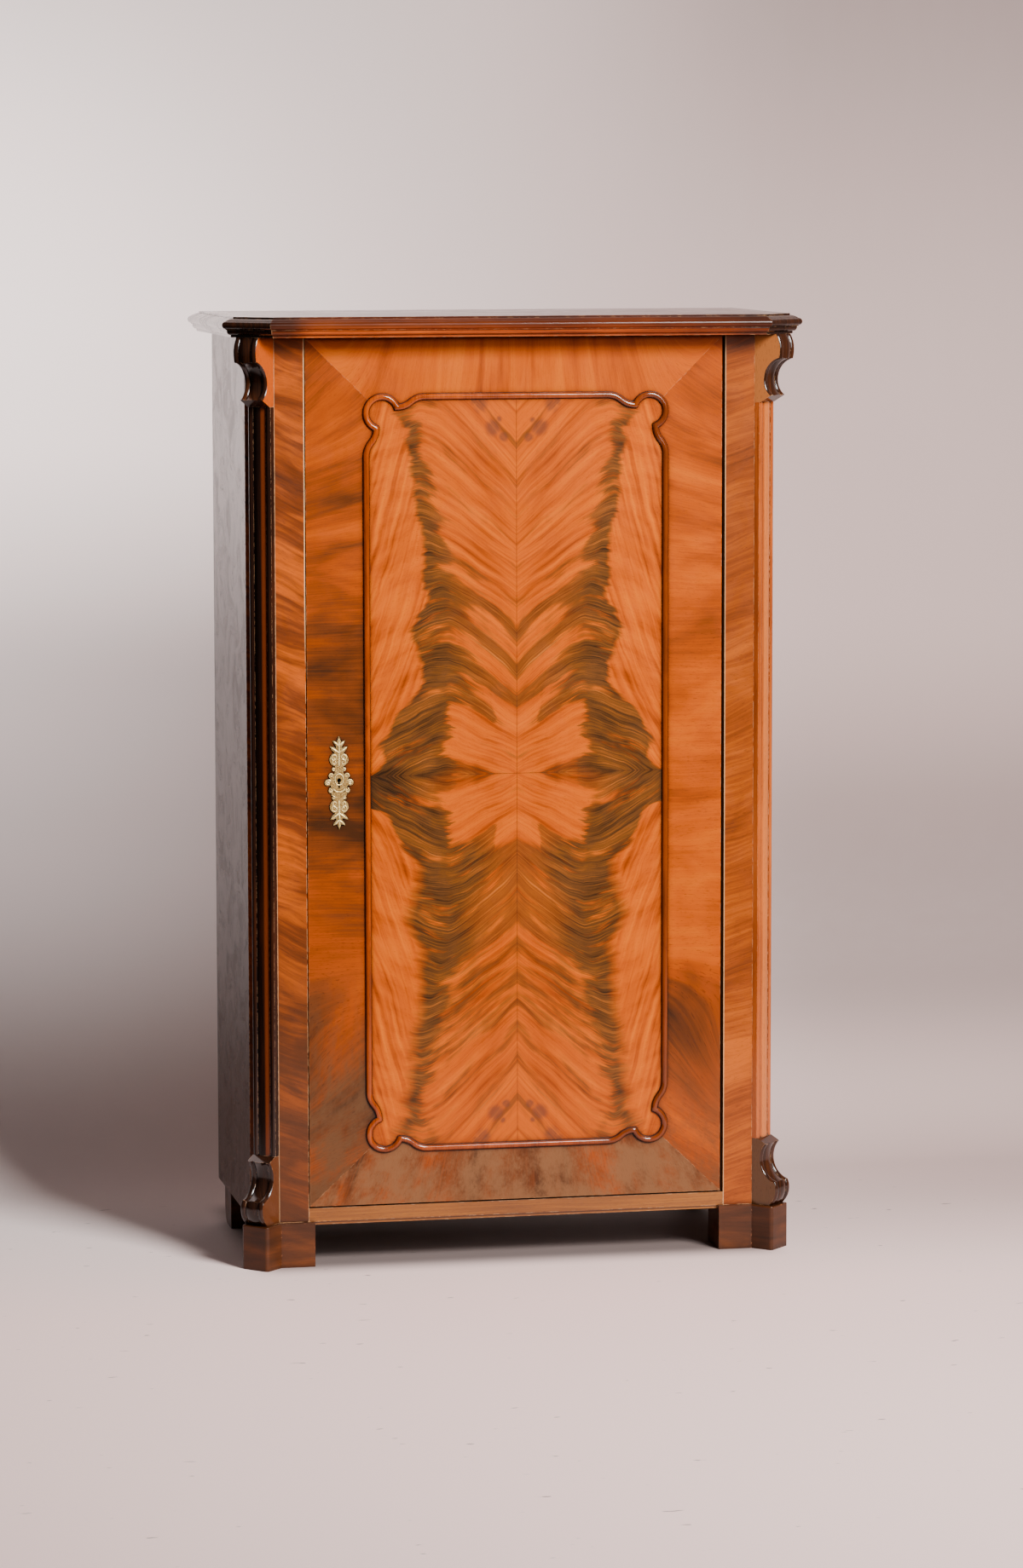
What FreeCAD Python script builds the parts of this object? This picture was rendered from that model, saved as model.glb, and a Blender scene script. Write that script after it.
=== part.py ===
import FreeCAD, Part
import math
import os

os.makedirs("parts", exist_ok=True)

# One-door cupboard, all lengths in millimetres.
# X runs to the viewer's right, Y runs to the back, Z runs up.
# While it is modelled, Y = 0 is the front plane of the stiles beside the door.
# On export everything moves along Y, so that the origin is the centre of the footprint.

# Overall sizes
total_height = 1420.0
opening_width = 638.0
stile_width = 45.0
cant_leg = 38.0
carcass_depth = 375.0

# Carcass boards
side_thickness = 22.0
floor_height = 98.0
board_thickness = 20.0
stile_thickness = 24.0
post_block_depth = 50.0
post_block_width = 38.0
back_board_thickness = 12.0
back_recess = 6.0
back_board_count = 4
back_tongue = 5.0
shelf_thickness = 18.0
shelf_count = 3
shelf_play = 1.0
bearer_width = 18.0
bearer_height = 22.0

# Cornice and the frame inside it
cornice_height = 30.0
front_overhang = 56.0
side_overhang = 37.0
cornice_cant = 62.0
moulding_width = 46.0
top_panel_thickness = 12.0
top_rail_width = 60.0

# The cornice moulding from the top down: lip, upper curve, nosing, fillet, ovolo and base.
# An inset is measured in from the nosing, a depth down from the top.
lip_inset = 17.5
lip_height = 2.6
lip_step = 2.4
upper_curve_middle = (9.6, 4.4)
nosing_depth = 12.2
nosing_radius = 5.4
nosing_inset = 5.2
fillet_depth = 19.0
ovolo_inset = 7.4
ovolo_middle = (8.6, 24.2)
base_inset = 13.6
base_depth = 26.6

# Feet and bottom rail
foot_height = 67.0
foot_proud = 8.0
foot_overlap = 8.0
foot_depth = 70.0
foot_inset = 5.0
plinth_width = 48.0
plinth_proud = 36.0
plinth_setback = 2.0
plinth_rounding = 5.0
plinth_top_rounding = 1.5
back_foot_width = 60.0
back_foot_length = 65.0
back_foot_inset = 8.5
back_foot_setback = 10.0
back_foot_rounding = 25.0
rail_height = 20.5
rail_lip = 5.0
rail_lip_setback = 3.0

# Reeded strip and consoles on the canted corners
strip_width = 40.7
strip_proud = 10.6
reed_depth = 2.4
reed_skim = 0.05
narrow_reed = 9.0
console_height = 102.0

# Side view of a console: how far it stands out from the canted face, and how far below its root
upper_console = {
    "root_out": 39.6, "bulge_out": 46.3, "bulge_at": 22.0, "corner_out": 44.3, "corner_at": 37.0,
    "neck_out": 18.3, "neck_at": 69.0, "lip_out": 29.7, "lip_at": 91.0,
}
lower_console = {
    "root_out": 33.0, "bulge_out": 44.5, "bulge_at": 25.0, "corner_out": 41.0, "corner_at": 38.0,
    "neck_out": 16.5, "neck_at": 70.0, "lip_out": 25.5, "lip_at": 94.0,
}

# Door
door_thickness = 23.0
veneer_thickness = 1.0
lock_gap = 1.5
hinge_gap = 5.0
head_gap = 2.0
sill_gap = 2.5
stop_gap = 1.0
door_stile_width = 88.0
door_rail_height = 86.0
panel_thickness = 14.0
panel_tongue = 8.0
tongue_thickness = 6.0
tenon_length = 40.0
tenon_thickness = 8.0
tenon_shoulder = 17.0
joint_play = 0.2

# Bead on the door: its centre line's distance from the opening's sides and the door's top and bottom.
# Its round back is worked in flats, which keeps the lobes light.
bead_from_side = 92.0
bead_from_top = 87.0
bead_from_bottom = 83.0
lobe_radius = 24.0
lobe_half_angle = 114.0
ogee_length = 42.0
bead_width = 9.7
bead_height = 4.9
bead_flats = 4

# Pivot hinges
pivot_from_edge = 12.0
pivot_from_front = 11.0
plate_length = 56.0
plate_width = 14.0
plate_thickness = 2.5
pin_radius = 3.5
pin_play = 0.05
pin_length = 10.0
pin_hole_play = 0.6
collar_radius = 6.0
collar_play = 0.3
swing_play = 0.6

# Lock and escutcheon
key_from_edge = 47.5
key_height = 733.0
key_hole_radius = 3.2
key_slot_width = 3.0
key_slot_length = 11.5
key_chamber_radius = 9.5
lock_length = 72.0
lock_height = 76.0
lock_depth = 15.0
lock_wall = 2.5
selvedge_thickness = 2.5
selvedge_height = 100.0
selvedge_width = 15.0
bolt_length = 55.0
bolt_height = 20.0
bolt_thickness = 5.0
bolt_above_key = 6.0
bolt_travel = 10.0
bolt_play = 0.3
bolt_mortise = 14.0
talon_radius = 4.0
strike_thickness = 1.5
strike_height = 44.0
strike_width = 14.0
strike_play = 0.6
escutcheon_thickness = 1.8

# Escutcheon, measured from the middle of its keyhole. A lobe is (out, up, radius), on both sides;
# a leaf is (up, length, width, lean from upright), on both sides where it leans.
escutcheon_core = (-2.5, 14.0)
escutcheon_spine = (-50.0, 45.0, 6.3)
escutcheon_lobes = [
    (4.2, 31.0, 9.8), (7.8, 16.6, 2.8), (11.8, 7.0, 4.0), (16.8, -3.4, 4.8),
    (12.2, -15.2, 3.9), (8.4, -20.8, 3.2), (8.2, -26.4, 2.6), (4.2, -39.5, 9.8),
]
escutcheon_leaves = [
    (41.0, 16.5, 7.0, 55), (51.0, 12.0, 5.5, 48), (41.0, 24.6, 9.0, 0),
    (-49.5, 16.5, 7.0, 125), (-59.5, 12.0, 5.5, 132), (-47.5, 25.8, 9.0, 180),
]
escutcheon_eyes = [(5.6, 31.0, 1.7), (5.6, -39.5, 1.7)]

# Corners along a leaf's edge from its foot to its tip: share of its length, and share of its width to each side
leaf_edge = [(0.35, 0.5), (0.7, 0.33)]

# Places worked out from the sizes above
opening_half = opening_width / 2
cant_start = opening_half + stile_width
carcass_half = cant_start + cant_leg
side_inner = carcass_half - side_thickness
side_bottom = foot_height
floor_bottom = floor_height - board_thickness
under_cornice = total_height - cornice_height
rail_top = foot_height + rail_height
door_left = -opening_half + lock_gap
door_right = opening_half - hinge_gap
door_bottom = rail_top + sill_gap
door_top = under_cornice - head_gap
door_back = door_thickness
core_front = veneer_thickness
board_front = door_back + stop_gap
back_front = carcass_depth - back_recess - back_board_thickness
bead_half_width = opening_half - bead_from_side
bead_top = door_top - bead_from_top
bead_bottom = door_bottom + bead_from_bottom
bead_middle = (bead_top + bead_bottom) / 2
bead_half_height = (bead_top - bead_bottom) / 2
key_x = door_left + key_from_edge
pivot_x = door_right - pivot_from_edge
pivot_y = pivot_from_front
swing_reach = math.hypot(pivot_from_edge, door_back - pivot_y) + swing_play
y_to_centre = (front_overhang - carcass_depth) / 2
DIAGONAL = math.sqrt(0.5)
OVERRUN = 1.0
NEAR = 0.01


def vec(x, y, z):
    return FreeCAD.Vector(x, y, z)


def box(x0, x1, y0, y1, z0, z1):
    return Part.makeBox(x1 - x0, y1 - y0, z1 - z0, vec(x0, y0, z0))


def prism(outline, z0, z1):
    """A plan outline of (x, y) corners, raised from z0 to z1."""
    corners = [vec(x, y, z0) for x, y in outline]
    return Part.Face(Part.makePolygon(corners + corners[:1])).extrude(vec(0, 0, z1 - z0))


def outline_wire(start, steps, place):
    """A closed or open outline: a step of one point is a line, a step of two points is an arc."""
    edges = []
    here = start
    for step in steps:
        end = step[-1]
        if len(step) == 1:
            edges.append(Part.LineSegment(place(*here), place(*end)).toShape())
        else:
            edges.append(Part.Arc(place(*here), place(*step[0]), place(*end)).toShape())
        here = end
    return Part.Wire(edges)


def mirrored(shape):
    return shape.mirror(vec(0, 0, 0), vec(1, 0, 0))


def export(name, shape):
    placed = shape.copy()
    placed.translate(vec(0, y_to_centre, 0))
    if placed.ShapeType == "Compound" and len(placed.Solids) == 1:
        placed = placed.Solids[0]
    placed.exportStep("parts/" + name + ".step")


def export_pair(name, right_shape):
    export("right_" + name, right_shape)
    export("left_" + name, mirrored(right_shape))


# Carcass

def side_panel():
    return box(side_inner, carcass_half, cant_leg, carcass_depth, side_bottom, under_cornice)


def post_outline():
    """Plan of the right corner post: stile, canted face and the block behind them."""
    block_inner = side_inner - post_block_width
    return [
        (opening_half, 0), (cant_start, 0), (carcass_half, cant_leg), (side_inner, cant_leg),
        (side_inner, post_block_depth), (block_inner, post_block_depth),
        (block_inner, stile_thickness), (opening_half, stile_thickness),
    ]


def corner_post():
    return prism(post_outline(), foot_height, under_cornice)


def inner_board(z0, z1):
    """A board across the carcass, cut out around the posts at its front corners.

    Its front edge stops the door, and is cut back at the right where the door's hinged edge swings."""
    block_inner = side_inner - post_block_width
    right = [
        (block_inner, board_front), (block_inner, post_block_depth),
        (side_inner, post_block_depth), (side_inner, back_front),
    ]
    left = [(-x, y) for x, y in reversed(right)]
    swing = box(pivot_x - swing_reach, block_inner + OVERRUN, board_front - OVERRUN, pivot_y + swing_reach,
                z0 - OVERRUN, z1 + OVERRUN)
    return prism(right + left, z0, z1).cut(swing)


def back_board(index):
    """One back board, with a tongue on its right edge and a groove in its left edge."""
    pitch = 2 * side_inner / back_board_count
    x0 = -side_inner + index * pitch
    x1 = x0 + pitch
    y0 = back_front
    y1 = y0 + back_board_thickness
    third = back_board_thickness / 3
    board = box(x0, x1, y0, y1, side_bottom, under_cornice)
    if index < back_board_count - 1:
        tongue = box(x1, x1 + back_tongue, y0 + third, y1 - third, side_bottom, under_cornice)
        board = board.fuse(tongue).removeSplitter()
    if index > 0:
        groove = box(x0 - OVERRUN, x0 + back_tongue + joint_play, y0 + third, y1 - third,
                     side_bottom - OVERRUN, under_cornice + OVERRUN)
        board = board.cut(groove)
    return board


def shelf_height(index):
    """Height of the underside of a shelf; the shelves part the inside into equal spaces."""
    ceiling = under_cornice - board_thickness
    space = (ceiling - floor_height - shelf_count * shelf_thickness) / (shelf_count + 1)
    return floor_height + (index + 1) * space + index * shelf_thickness


def shelf(index):
    z0 = shelf_height(index)
    half = side_inner - shelf_play
    return box(-half, half, post_block_depth + shelf_play, back_front - shelf_play, z0, z0 + shelf_thickness)


def shelf_bearers():
    """The strips under the shelf ends, two for each shelf."""
    strips = []
    for index in range(shelf_count):
        z1 = shelf_height(index)
        right = box(side_inner - bearer_width, side_inner, post_block_depth, back_front,
                    z1 - bearer_height, z1)
        strips += [right, mirrored(right)]
    return Part.makeCompound(strips)


def bottom_rail():
    """The rail under the door, with a narrower lip below it between the feet."""
    rail = box(-opening_half, opening_half, 0, stile_thickness, foot_height, rail_top)
    lip_half = opening_half - foot_overlap
    lip = box(-lip_half, lip_half, rail_lip_setback, stile_thickness - rail_lip_setback,
              foot_height - rail_lip, foot_height)
    pocket = hinge_plate_space(rail_top - plate_thickness, rail_top + OVERRUN)
    return rail.fuse(lip).removeSplitter().cut(pocket)


# Feet

def front_foot():
    """The square block under the stile and post, cut off at its corner for the plinth block."""
    joint_x, joint_y = foot_joint()
    x0 = opening_half - foot_overlap
    x1 = carcass_half - foot_inset
    back = foot_depth - foot_proud
    outline = [(x0, joint_y), (joint_x, joint_y), (x1, joint_y + x1 - joint_x), (x1, back), (x0, back)]
    return prism(outline, 0, foot_height)


def foot_joint():
    """Where the foot's front face meets the diagonal plinth block."""
    return cant_start - plinth_setback, -foot_proud


def upright_edges(shape, corners):
    """The upright edges of a block over some corners of its plan."""
    found = []
    for edge in shape.Edges:
        middle = edge.CenterOfMass
        if any(math.dist((middle.x, middle.y), corner) < NEAR for corner in corners):
            found.append(edge)
    return found


def plinth_block():
    """The block that stands out diagonally under the lower console."""
    x0, y0 = foot_joint()
    out = plinth_proud * DIAGONAL
    along = plinth_width * DIAGONAL
    near_corner = (x0 + out, y0 - out)
    far_corner = (near_corner[0] + along, near_corner[1] + along)
    outline = [(x0, y0), near_corner, far_corner, (x0 + along, y0 + along)]
    block = prism(outline, 0, foot_height)
    block = block.makeFillet(plinth_rounding, upright_edges(block, [near_corner, far_corner]))
    top_front = []
    for edge in block.Edges:
        middle = edge.CenterOfMass
        beyond = (middle.x - middle.y - x0 + y0) * DIAGONAL
        if abs(middle.z - foot_height) < NEAR and beyond > OVERRUN:
            top_front.append(edge)
    return block.makeFillet(plinth_top_rounding, top_front)


def back_foot():
    """A square block under the side panel and the bottom board, with its lower back edge rounded off."""
    x1 = carcass_half - back_foot_inset
    x0 = x1 - back_foot_width
    y1 = carcass_depth - back_foot_setback
    y0 = y1 - back_foot_length
    block = box(x0, x1, y0, y1, 0, side_bottom)
    lower_back = []
    for edge in block.Edges:
        middle = edge.CenterOfMass
        if abs(middle.y - y1) < NEAR and abs(middle.z) < NEAR:
            lower_back.append(edge)
    head = box(x0, side_inner, y0, back_front, back_foot_rounding, floor_bottom)
    return block.makeFillet(back_foot_rounding, lower_back).fuse(head).removeSplitter()


# Reeds, strips and consoles
# On the canted face, "along" runs from the stile outwards and "out" stands square to the face.

def on_cant(along, out, z):
    return vec(cant_start + (along + out) * DIAGONAL, (along - out) * DIAGONAL, z)


def along_cant():
    return vec(DIAGONAL, DIAGONAL, 0)


def reed_steps(crest):
    """The crests across a strip, from the stile outwards: narrow, wide, narrow."""
    edges = [0, narrow_reed, strip_width - narrow_reed, strip_width]
    steps = []
    for left, right in zip(edges, edges[1:]):
        steps.append((((left + right) / 2, crest), (right, -reed_depth)))
    return steps


def reeded_strip():
    z0 = foot_height + console_height
    z1 = under_cornice - console_height
    steps = reed_steps(0) + [((strip_width, -strip_proud),), ((0, -strip_proud),), ((0, -reed_depth),)]
    wire = outline_wire((0, -reed_depth), steps, lambda a, h: on_cant(a, strip_proud + h, z0))
    return Part.Face(wire).extrude(vec(0, 0, z1 - z0))


def upright_arc(start, end):
    """The arc that leaves its start upright and ends at a second point.

    Gives the arc's radius, its centre and the point half way up; side is -1 where the centre lies
    towards the cupboard and 1 where it lies in front."""
    rise = end[1] - start[1]
    step = end[0] - start[0]
    radius = (step * step + rise * rise) / (2 * abs(step))
    side = 1 if step > 0 else -1
    centre = (start[0] + side * radius, start[1])
    half_out = centre[0] - side * math.sqrt(radius ** 2 - (rise / 2) ** 2)
    return {"radius": radius, "side": side, "centre": centre, "middle": (half_out, start[1] + rise / 2)}


def console(sizes, root, downward):
    """One scroll console: its side view raised along the cant, then its front cut into reeds."""
    sign = -1 if downward else 1
    root_point = (sizes["root_out"], 0)
    bulge = (sizes["bulge_out"], sizes["bulge_at"])
    corner = (sizes["corner_out"], sizes["corner_at"])
    neck = (sizes["neck_out"], sizes["neck_at"])
    lip = (sizes["lip_out"], sizes["lip_at"])
    root_arc = upright_arc(bulge, root_point)
    bulge_arc = upright_arc(bulge, corner)
    neck_arc = upright_arc(neck, corner)
    lip_arc = upright_arc(neck, lip)
    steps = [
        (root_arc["middle"], bulge), (bulge_arc["middle"], corner), (neck_arc["middle"], neck),
        (lip_arc["middle"], lip), ((strip_proud, console_height),), ((0, console_height),), ((0, 0),),
        (root_point,),
    ]

    def side_view(out, at):
        return on_cant(0, out, root + sign * at)

    body = Part.Face(outline_wire(root_point, steps, side_view)).extrude(along_cant() * strip_width)
    reaches = [
        (root_arc, -OVERRUN), (bulge_arc, corner[1] + reed_depth),
        (neck_arc, corner[1] - OVERRUN), (lip_arc, lip[1] + reed_depth),
    ]
    for arc, reach_at in reaches:
        body = body.cut(reed_cut(arc, reach_at, root, sign))
    return body.removeSplitter()


def reed_cut(arc, reach_at, root, sign):
    """The valleys between the reeds and the air above them, turned about an arc's centre."""
    side = arc["side"]
    centre_out, centre_at = arc["centre"]

    def section(along, height):
        return on_cant(along, centre_out - side * arc["radius"] + height, root + sign * centre_at)

    steps = reed_steps(-reed_skim) + [((strip_width, OVERRUN),), ((0, OVERRUN),), ((0, -reed_depth),)]
    face = Part.Face(outline_wire((0, -reed_depth), steps, section))
    share = max(-1.0, min(1.0, (reach_at - centre_at) / arc["radius"]))
    pivot = on_cant(0, centre_out, root + sign * centre_at)
    return face.revolve(pivot, along_cant(), sign * side * math.degrees(math.asin(share)))


# Cornice

def cornice_corners(inset):
    """Plan corners of the cornice, right back to left back, set in from the nosing by a distance."""
    half = carcass_half + side_overhang - inset
    front = -front_overhang + inset
    slant = (carcass_half + side_overhang) - (-front_overhang + cornice_cant) - inset * math.sqrt(2)
    right = [(half, carcass_depth), (half, half - slant), (slant + front, front)]
    return right + [(-x, y) for x, y in reversed(right)]


def cornice_steps():
    """The moulding's profile: (distance in from the nosing, depth below the top)."""
    return (lip_inset, 0), [
        ((lip_inset, lip_height),),
        ((lip_inset - lip_step, lip_height),),
        (upper_curve_middle, (nosing_inset, nosing_depth - nosing_radius)),
        ((0, nosing_depth), (nosing_inset, nosing_depth + nosing_radius)),
        ((nosing_inset, fillet_depth),),
        ((ovolo_inset, fillet_depth),),
        (ovolo_middle, (base_inset, base_depth)),
        ((base_inset, cornice_height),),
        ((moulding_width, cornice_height),),
        ((moulding_width, 0),),
        ((lip_inset, 0),),
    ]


def cornice_run(index):
    """One run between two mitres; index 0 is the right side, 2 is the front, 4 is the left side."""
    outer = cornice_corners(0)
    inner = cornice_corners(moulding_width)
    start = vec(outer[index][0], outer[index][1], 0)
    end = vec(outer[index + 1][0], outer[index + 1][1], 0)
    along = (end - start).normalize()
    inward = vec(along.y, -along.x, 0)
    if inward.dot(vec(-start.x, carcass_depth / 2 - start.y, 0)) < 0:
        inward = inward * -1
    begin = start - along * moulding_width

    def place(inset, depth):
        return begin + inward * inset + vec(0, 0, total_height - depth)

    first, steps = cornice_steps()
    profile = Part.Face(outline_wire(first, steps, place))
    bar = profile.extrude(along * ((end - start).Length + 2 * moulding_width))
    plan = [outer[index], outer[index + 1], inner[index + 1], inner[index]]
    return bar.common(prism(plan, under_cornice - OVERRUN, total_height + OVERRUN))


def top_outline():
    return cornice_corners(moulding_width)


def top_panel():
    return prism(top_outline(), total_height - top_panel_thickness, total_height)


def top_rails():
    """The frame under the top panel: front, back and two side rails."""
    z0 = under_cornice
    z1 = total_height - top_panel_thickness
    whole = prism(top_outline(), z0, z1)
    half = top_outline()[0][0]
    front_edge = top_outline()[2][1]
    front_back = front_edge + top_rail_width + stile_thickness
    back_start = carcass_depth - top_rail_width
    front = whole.common(box(-half, half, front_edge, front_back, z0, z1))
    pocket = hinge_plate_space(under_cornice - OVERRUN, under_cornice + plate_thickness)
    back = box(-half, half, back_start, carcass_depth, z0, z1)
    right = box(half - top_rail_width, half, front_back, back_start, z0, z1)
    return front.cut(pocket), back, right


# Pivot hinges

def hinge_plate_space(z0, z1):
    """The space of a hinge plate, with its outer end rounded about the pivot."""
    half = plate_width / 2
    bar = box(pivot_x - plate_length + half, pivot_x, pivot_y - half, pivot_y + half, z0, z1)
    end = Part.makeCylinder(half, z1 - z0, vec(pivot_x, pivot_y, z0))
    return bar.fuse(end).removeSplitter()


def carcass_plate(z0, direction):
    """A plate in the carcass with a collar and the pin that the door turns on."""
    plate = hinge_plate_space(*sorted([z0, z0 - direction * plate_thickness]))
    gap = head_gap if direction < 0 else sill_gap
    axis = vec(0, 0, direction)
    foot = vec(pivot_x, pivot_y, z0)
    collar = Part.makeCylinder(collar_radius, gap - collar_play, foot, axis)
    pin = Part.makeCylinder(pin_radius, pin_length, foot, axis)
    return plate.fuse([collar, pin]).removeSplitter()


def door_leaf(z0, z1):
    """A plate in the end of the door stile, bored for the pin."""
    bore = Part.makeCylinder(pin_radius + pin_play, z1 - z0, vec(pivot_x, pivot_y, z0))
    return hinge_plate_space(z0, z1).cut(bore)


# Door

def door_stile(right):
    """One upright of the door frame, grooved for the panel and mortised for the rails."""
    x0 = door_right - door_stile_width if right else door_left
    x1 = door_right if right else door_left + door_stile_width
    stile = box(x0, x1, core_front, door_back, door_bottom, door_top)
    inner = x0 if right else x1
    side = 1 if right else -1
    for z0, z1 in rail_spans():
        stile = stile.cut(tenon(inner, side, z0, z1, joint_play))
    reach = sorted([inner, inner + side * (panel_tongue + joint_play)])
    groove_z0, groove_z1 = panel_span()
    groove = tongue_layer(reach[0], reach[1], groove_z0 - panel_tongue, groove_z1 + panel_tongue)
    stile = stile.cut(groove)
    if right:
        stile = stile.cut(hinge_plate_space(door_bottom - OVERRUN, door_bottom + plate_thickness))
        stile = stile.cut(hinge_plate_space(door_top - plate_thickness, door_top + OVERRUN))
        hole = pin_radius + pin_hole_play
        stile = stile.cut(Part.makeCylinder(hole, pin_length, vec(pivot_x, pivot_y, door_bottom)))
        return stile.cut(Part.makeCylinder(hole, pin_length, vec(pivot_x, pivot_y, door_top - pin_length)))
    return stile.cut(lock_space()).cut(key_hole(core_front - OVERRUN, door_back))


def rail_spans():
    return [(door_bottom, door_bottom + door_rail_height), (door_top - door_rail_height, door_top)]


def panel_span():
    return door_bottom + door_rail_height, door_top - door_rail_height


def tongue_layer(x0, x1, z0, z1):
    """The layer that the panel's tongue and its grooves share."""
    y0 = core_front + (panel_thickness - tongue_thickness) / 2
    return box(x0, x1, y0, y0 + tongue_thickness, z0, z1)


def tenon(inner, side, z0, z1, play):
    """A rail's tenon, or with play its mortise, reaching from a stile's inner edge into it."""
    reach = sorted([inner, inner + side * (tenon_length + play)])
    y0 = core_front + (door_back - core_front - tenon_thickness) / 2
    return box(reach[0], reach[1], y0 - play, y0 + tenon_thickness + play,
               z0 + tenon_shoulder - play, z1 - tenon_shoulder + play)


def door_rail(top):
    z0, z1 = rail_spans()[1 if top else 0]
    left = door_left + door_stile_width
    right = door_right - door_stile_width
    rail = box(left, right, core_front, door_back, z0, z1)
    rail = rail.fuse([tenon(left, -1, z0, z1, 0), tenon(right, 1, z0, z1, 0)]).removeSplitter()
    edge, step = (z0, 1) if top else (z1, -1)
    depth = sorted([edge, edge + step * (panel_tongue + joint_play)])
    return rail.cut(tongue_layer(left, right, depth[0], depth[1]))


def door_panel():
    left = door_left + door_stile_width
    right = door_right - door_stile_width
    z0, z1 = panel_span()
    field = box(left, right, core_front, core_front + panel_thickness, z0, z1)
    tongue = tongue_layer(left - panel_tongue, right + panel_tongue, z0 - panel_tongue, z1 + panel_tongue)
    return field.fuse(tongue).removeSplitter()


# Bead line, with a round lobe at each corner

def lobe_points():
    """Lobe centre and its two ends, for the upper right corner, measured from the bead's middle."""
    centre = (bead_half_width - lobe_radius, bead_half_height - lobe_radius)
    ends = []
    for turn in (lobe_half_angle, -lobe_half_angle):
        angle = math.radians(45 + turn)
        ends.append((centre[0] + lobe_radius * math.cos(angle), centre[1] + lobe_radius * math.sin(angle)))
    return centre, ends[0], ends[1]


def ogee(start, end, heading):
    """Two equal arcs that leave start and reach end in one heading, and shift sideways between them."""
    middle = ((start[0] + end[0]) / 2, (start[1] + end[1]) / 2)
    chord = math.atan2(end[1] - start[1], end[0] - start[0])
    lean = (chord + heading) / 2
    reach = math.dist(start, end) / (4 * math.cos((chord - heading) / 2))
    first = (start[0] + reach * math.cos(lean), start[1] + reach * math.sin(lean))
    second = (end[0] - reach * math.cos(lean), end[1] - reach * math.sin(lean))
    return [(first, middle), (second, end)]


def bead_parts():
    """The bead line's upper right quarter: half the top run, the lobe and half the side run."""
    centre, top_end, side_end = lobe_points()
    lobe_top = (centre[0] + lobe_radius * DIAGONAL, centre[1] + lobe_radius * DIAGONAL)
    top_flat = (top_end[0] - ogee_length, bead_half_height)
    side_flat = (bead_half_width, side_end[1] - ogee_length)
    top_run = [(top_flat,)] + ogee(top_flat, top_end, 0)
    lobe = [(lobe_top, side_end)]
    side_run = ogee(side_end, side_flat, -math.pi / 2) + [((bead_half_width, 0),)]
    return top_run, lobe, side_run


def bead_line(y):
    """The closed centre line of the bead in the plane y."""
    top_run, lobe, side_run = bead_parts()
    edges = []
    for x_sign, z_sign in ((1, 1), (-1, 1), (-1, -1), (1, -1)):
        def place(x, z, xs=x_sign, zs=z_sign):
            return vec(xs * x, y, bead_middle + zs * z)
        edges += outline_wire((0, bead_half_height), top_run + lobe + side_run, place).Edges
    return Part.Wire(Part.__sortEdges__(edges))


def bead_section(at, across):
    """The bead's section at a point of its line, with its corners on a half ellipse."""
    corners = []
    for step in range(bead_flats + 1):
        angle = math.pi * step / bead_flats
        shift = -bead_width / 2 * math.cos(angle)
        corners.append(at + across * shift + vec(0, -bead_height * math.sin(angle), 0))
    return Part.makePolygon(corners + corners[:1])


def keep_side(shape, point, normal):
    """The part of a shape behind a plane."""
    reach = 2 * total_height
    slab = Part.makeBox(reach, reach, reach, vec(-reach / 2, -reach / 2, 0))
    slab.Placement = FreeCAD.Placement(point, FreeCAD.Rotation(vec(0, 0, 1), normal))
    return shape.cut(slab)


def bead_length(edge, forward):
    """The bead over one straight or round edge of its line."""
    first, last = edge.FirstParameter, edge.LastParameter
    if not forward:
        first, last = last, first
    start = edge.valueAt(first)
    heading = edge.tangentAt(first) * (1 if forward else -1)
    face = Part.Face(bead_section(start, heading.cross(vec(0, 1, 0))))
    if isinstance(edge.Curve, Part.Line):
        return face.extrude(heading * edge.Length)
    centre = edge.Curve.Center
    axis = (start - centre).cross(heading)
    return face.revolve(centre, axis, math.degrees(edge.Length / edge.Curve.Radius))


def bead_run(start, steps):
    """A length of bead along a smooth line, run on a little past both its ends for the mitres.

    Gives the bead and the directions in which its line leaves its start and reaches its end."""
    def place(x, z):
        return vec(x, 0, bead_middle + z)

    pieces = []
    headings = []
    here = start
    for step in steps:
        edge = outline_wire(here, [step], place).Edges[0]
        forward = (edge.valueAt(edge.FirstParameter) - place(*here)).Length < NEAR
        pieces.append(bead_length(edge, forward))
        for parameter in sorted([edge.FirstParameter, edge.LastParameter], reverse=not forward):
            headings.append(edge.tangentAt(parameter) * (1 if forward else -1))
        here = step[-1]
    begin, finish = headings[0], headings[-1]
    lead = Part.Face(bead_section(place(*start) - begin * bead_width, begin.cross(vec(0, 1, 0))))
    tail = Part.Face(bead_section(place(*here), finish.cross(vec(0, 1, 0))))
    pieces += [lead.extrude(begin * bead_width), tail.extrude(finish * bead_width)]
    return pieces[0].fuse(pieces[1:]).removeSplitter(), begin, finish


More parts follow.
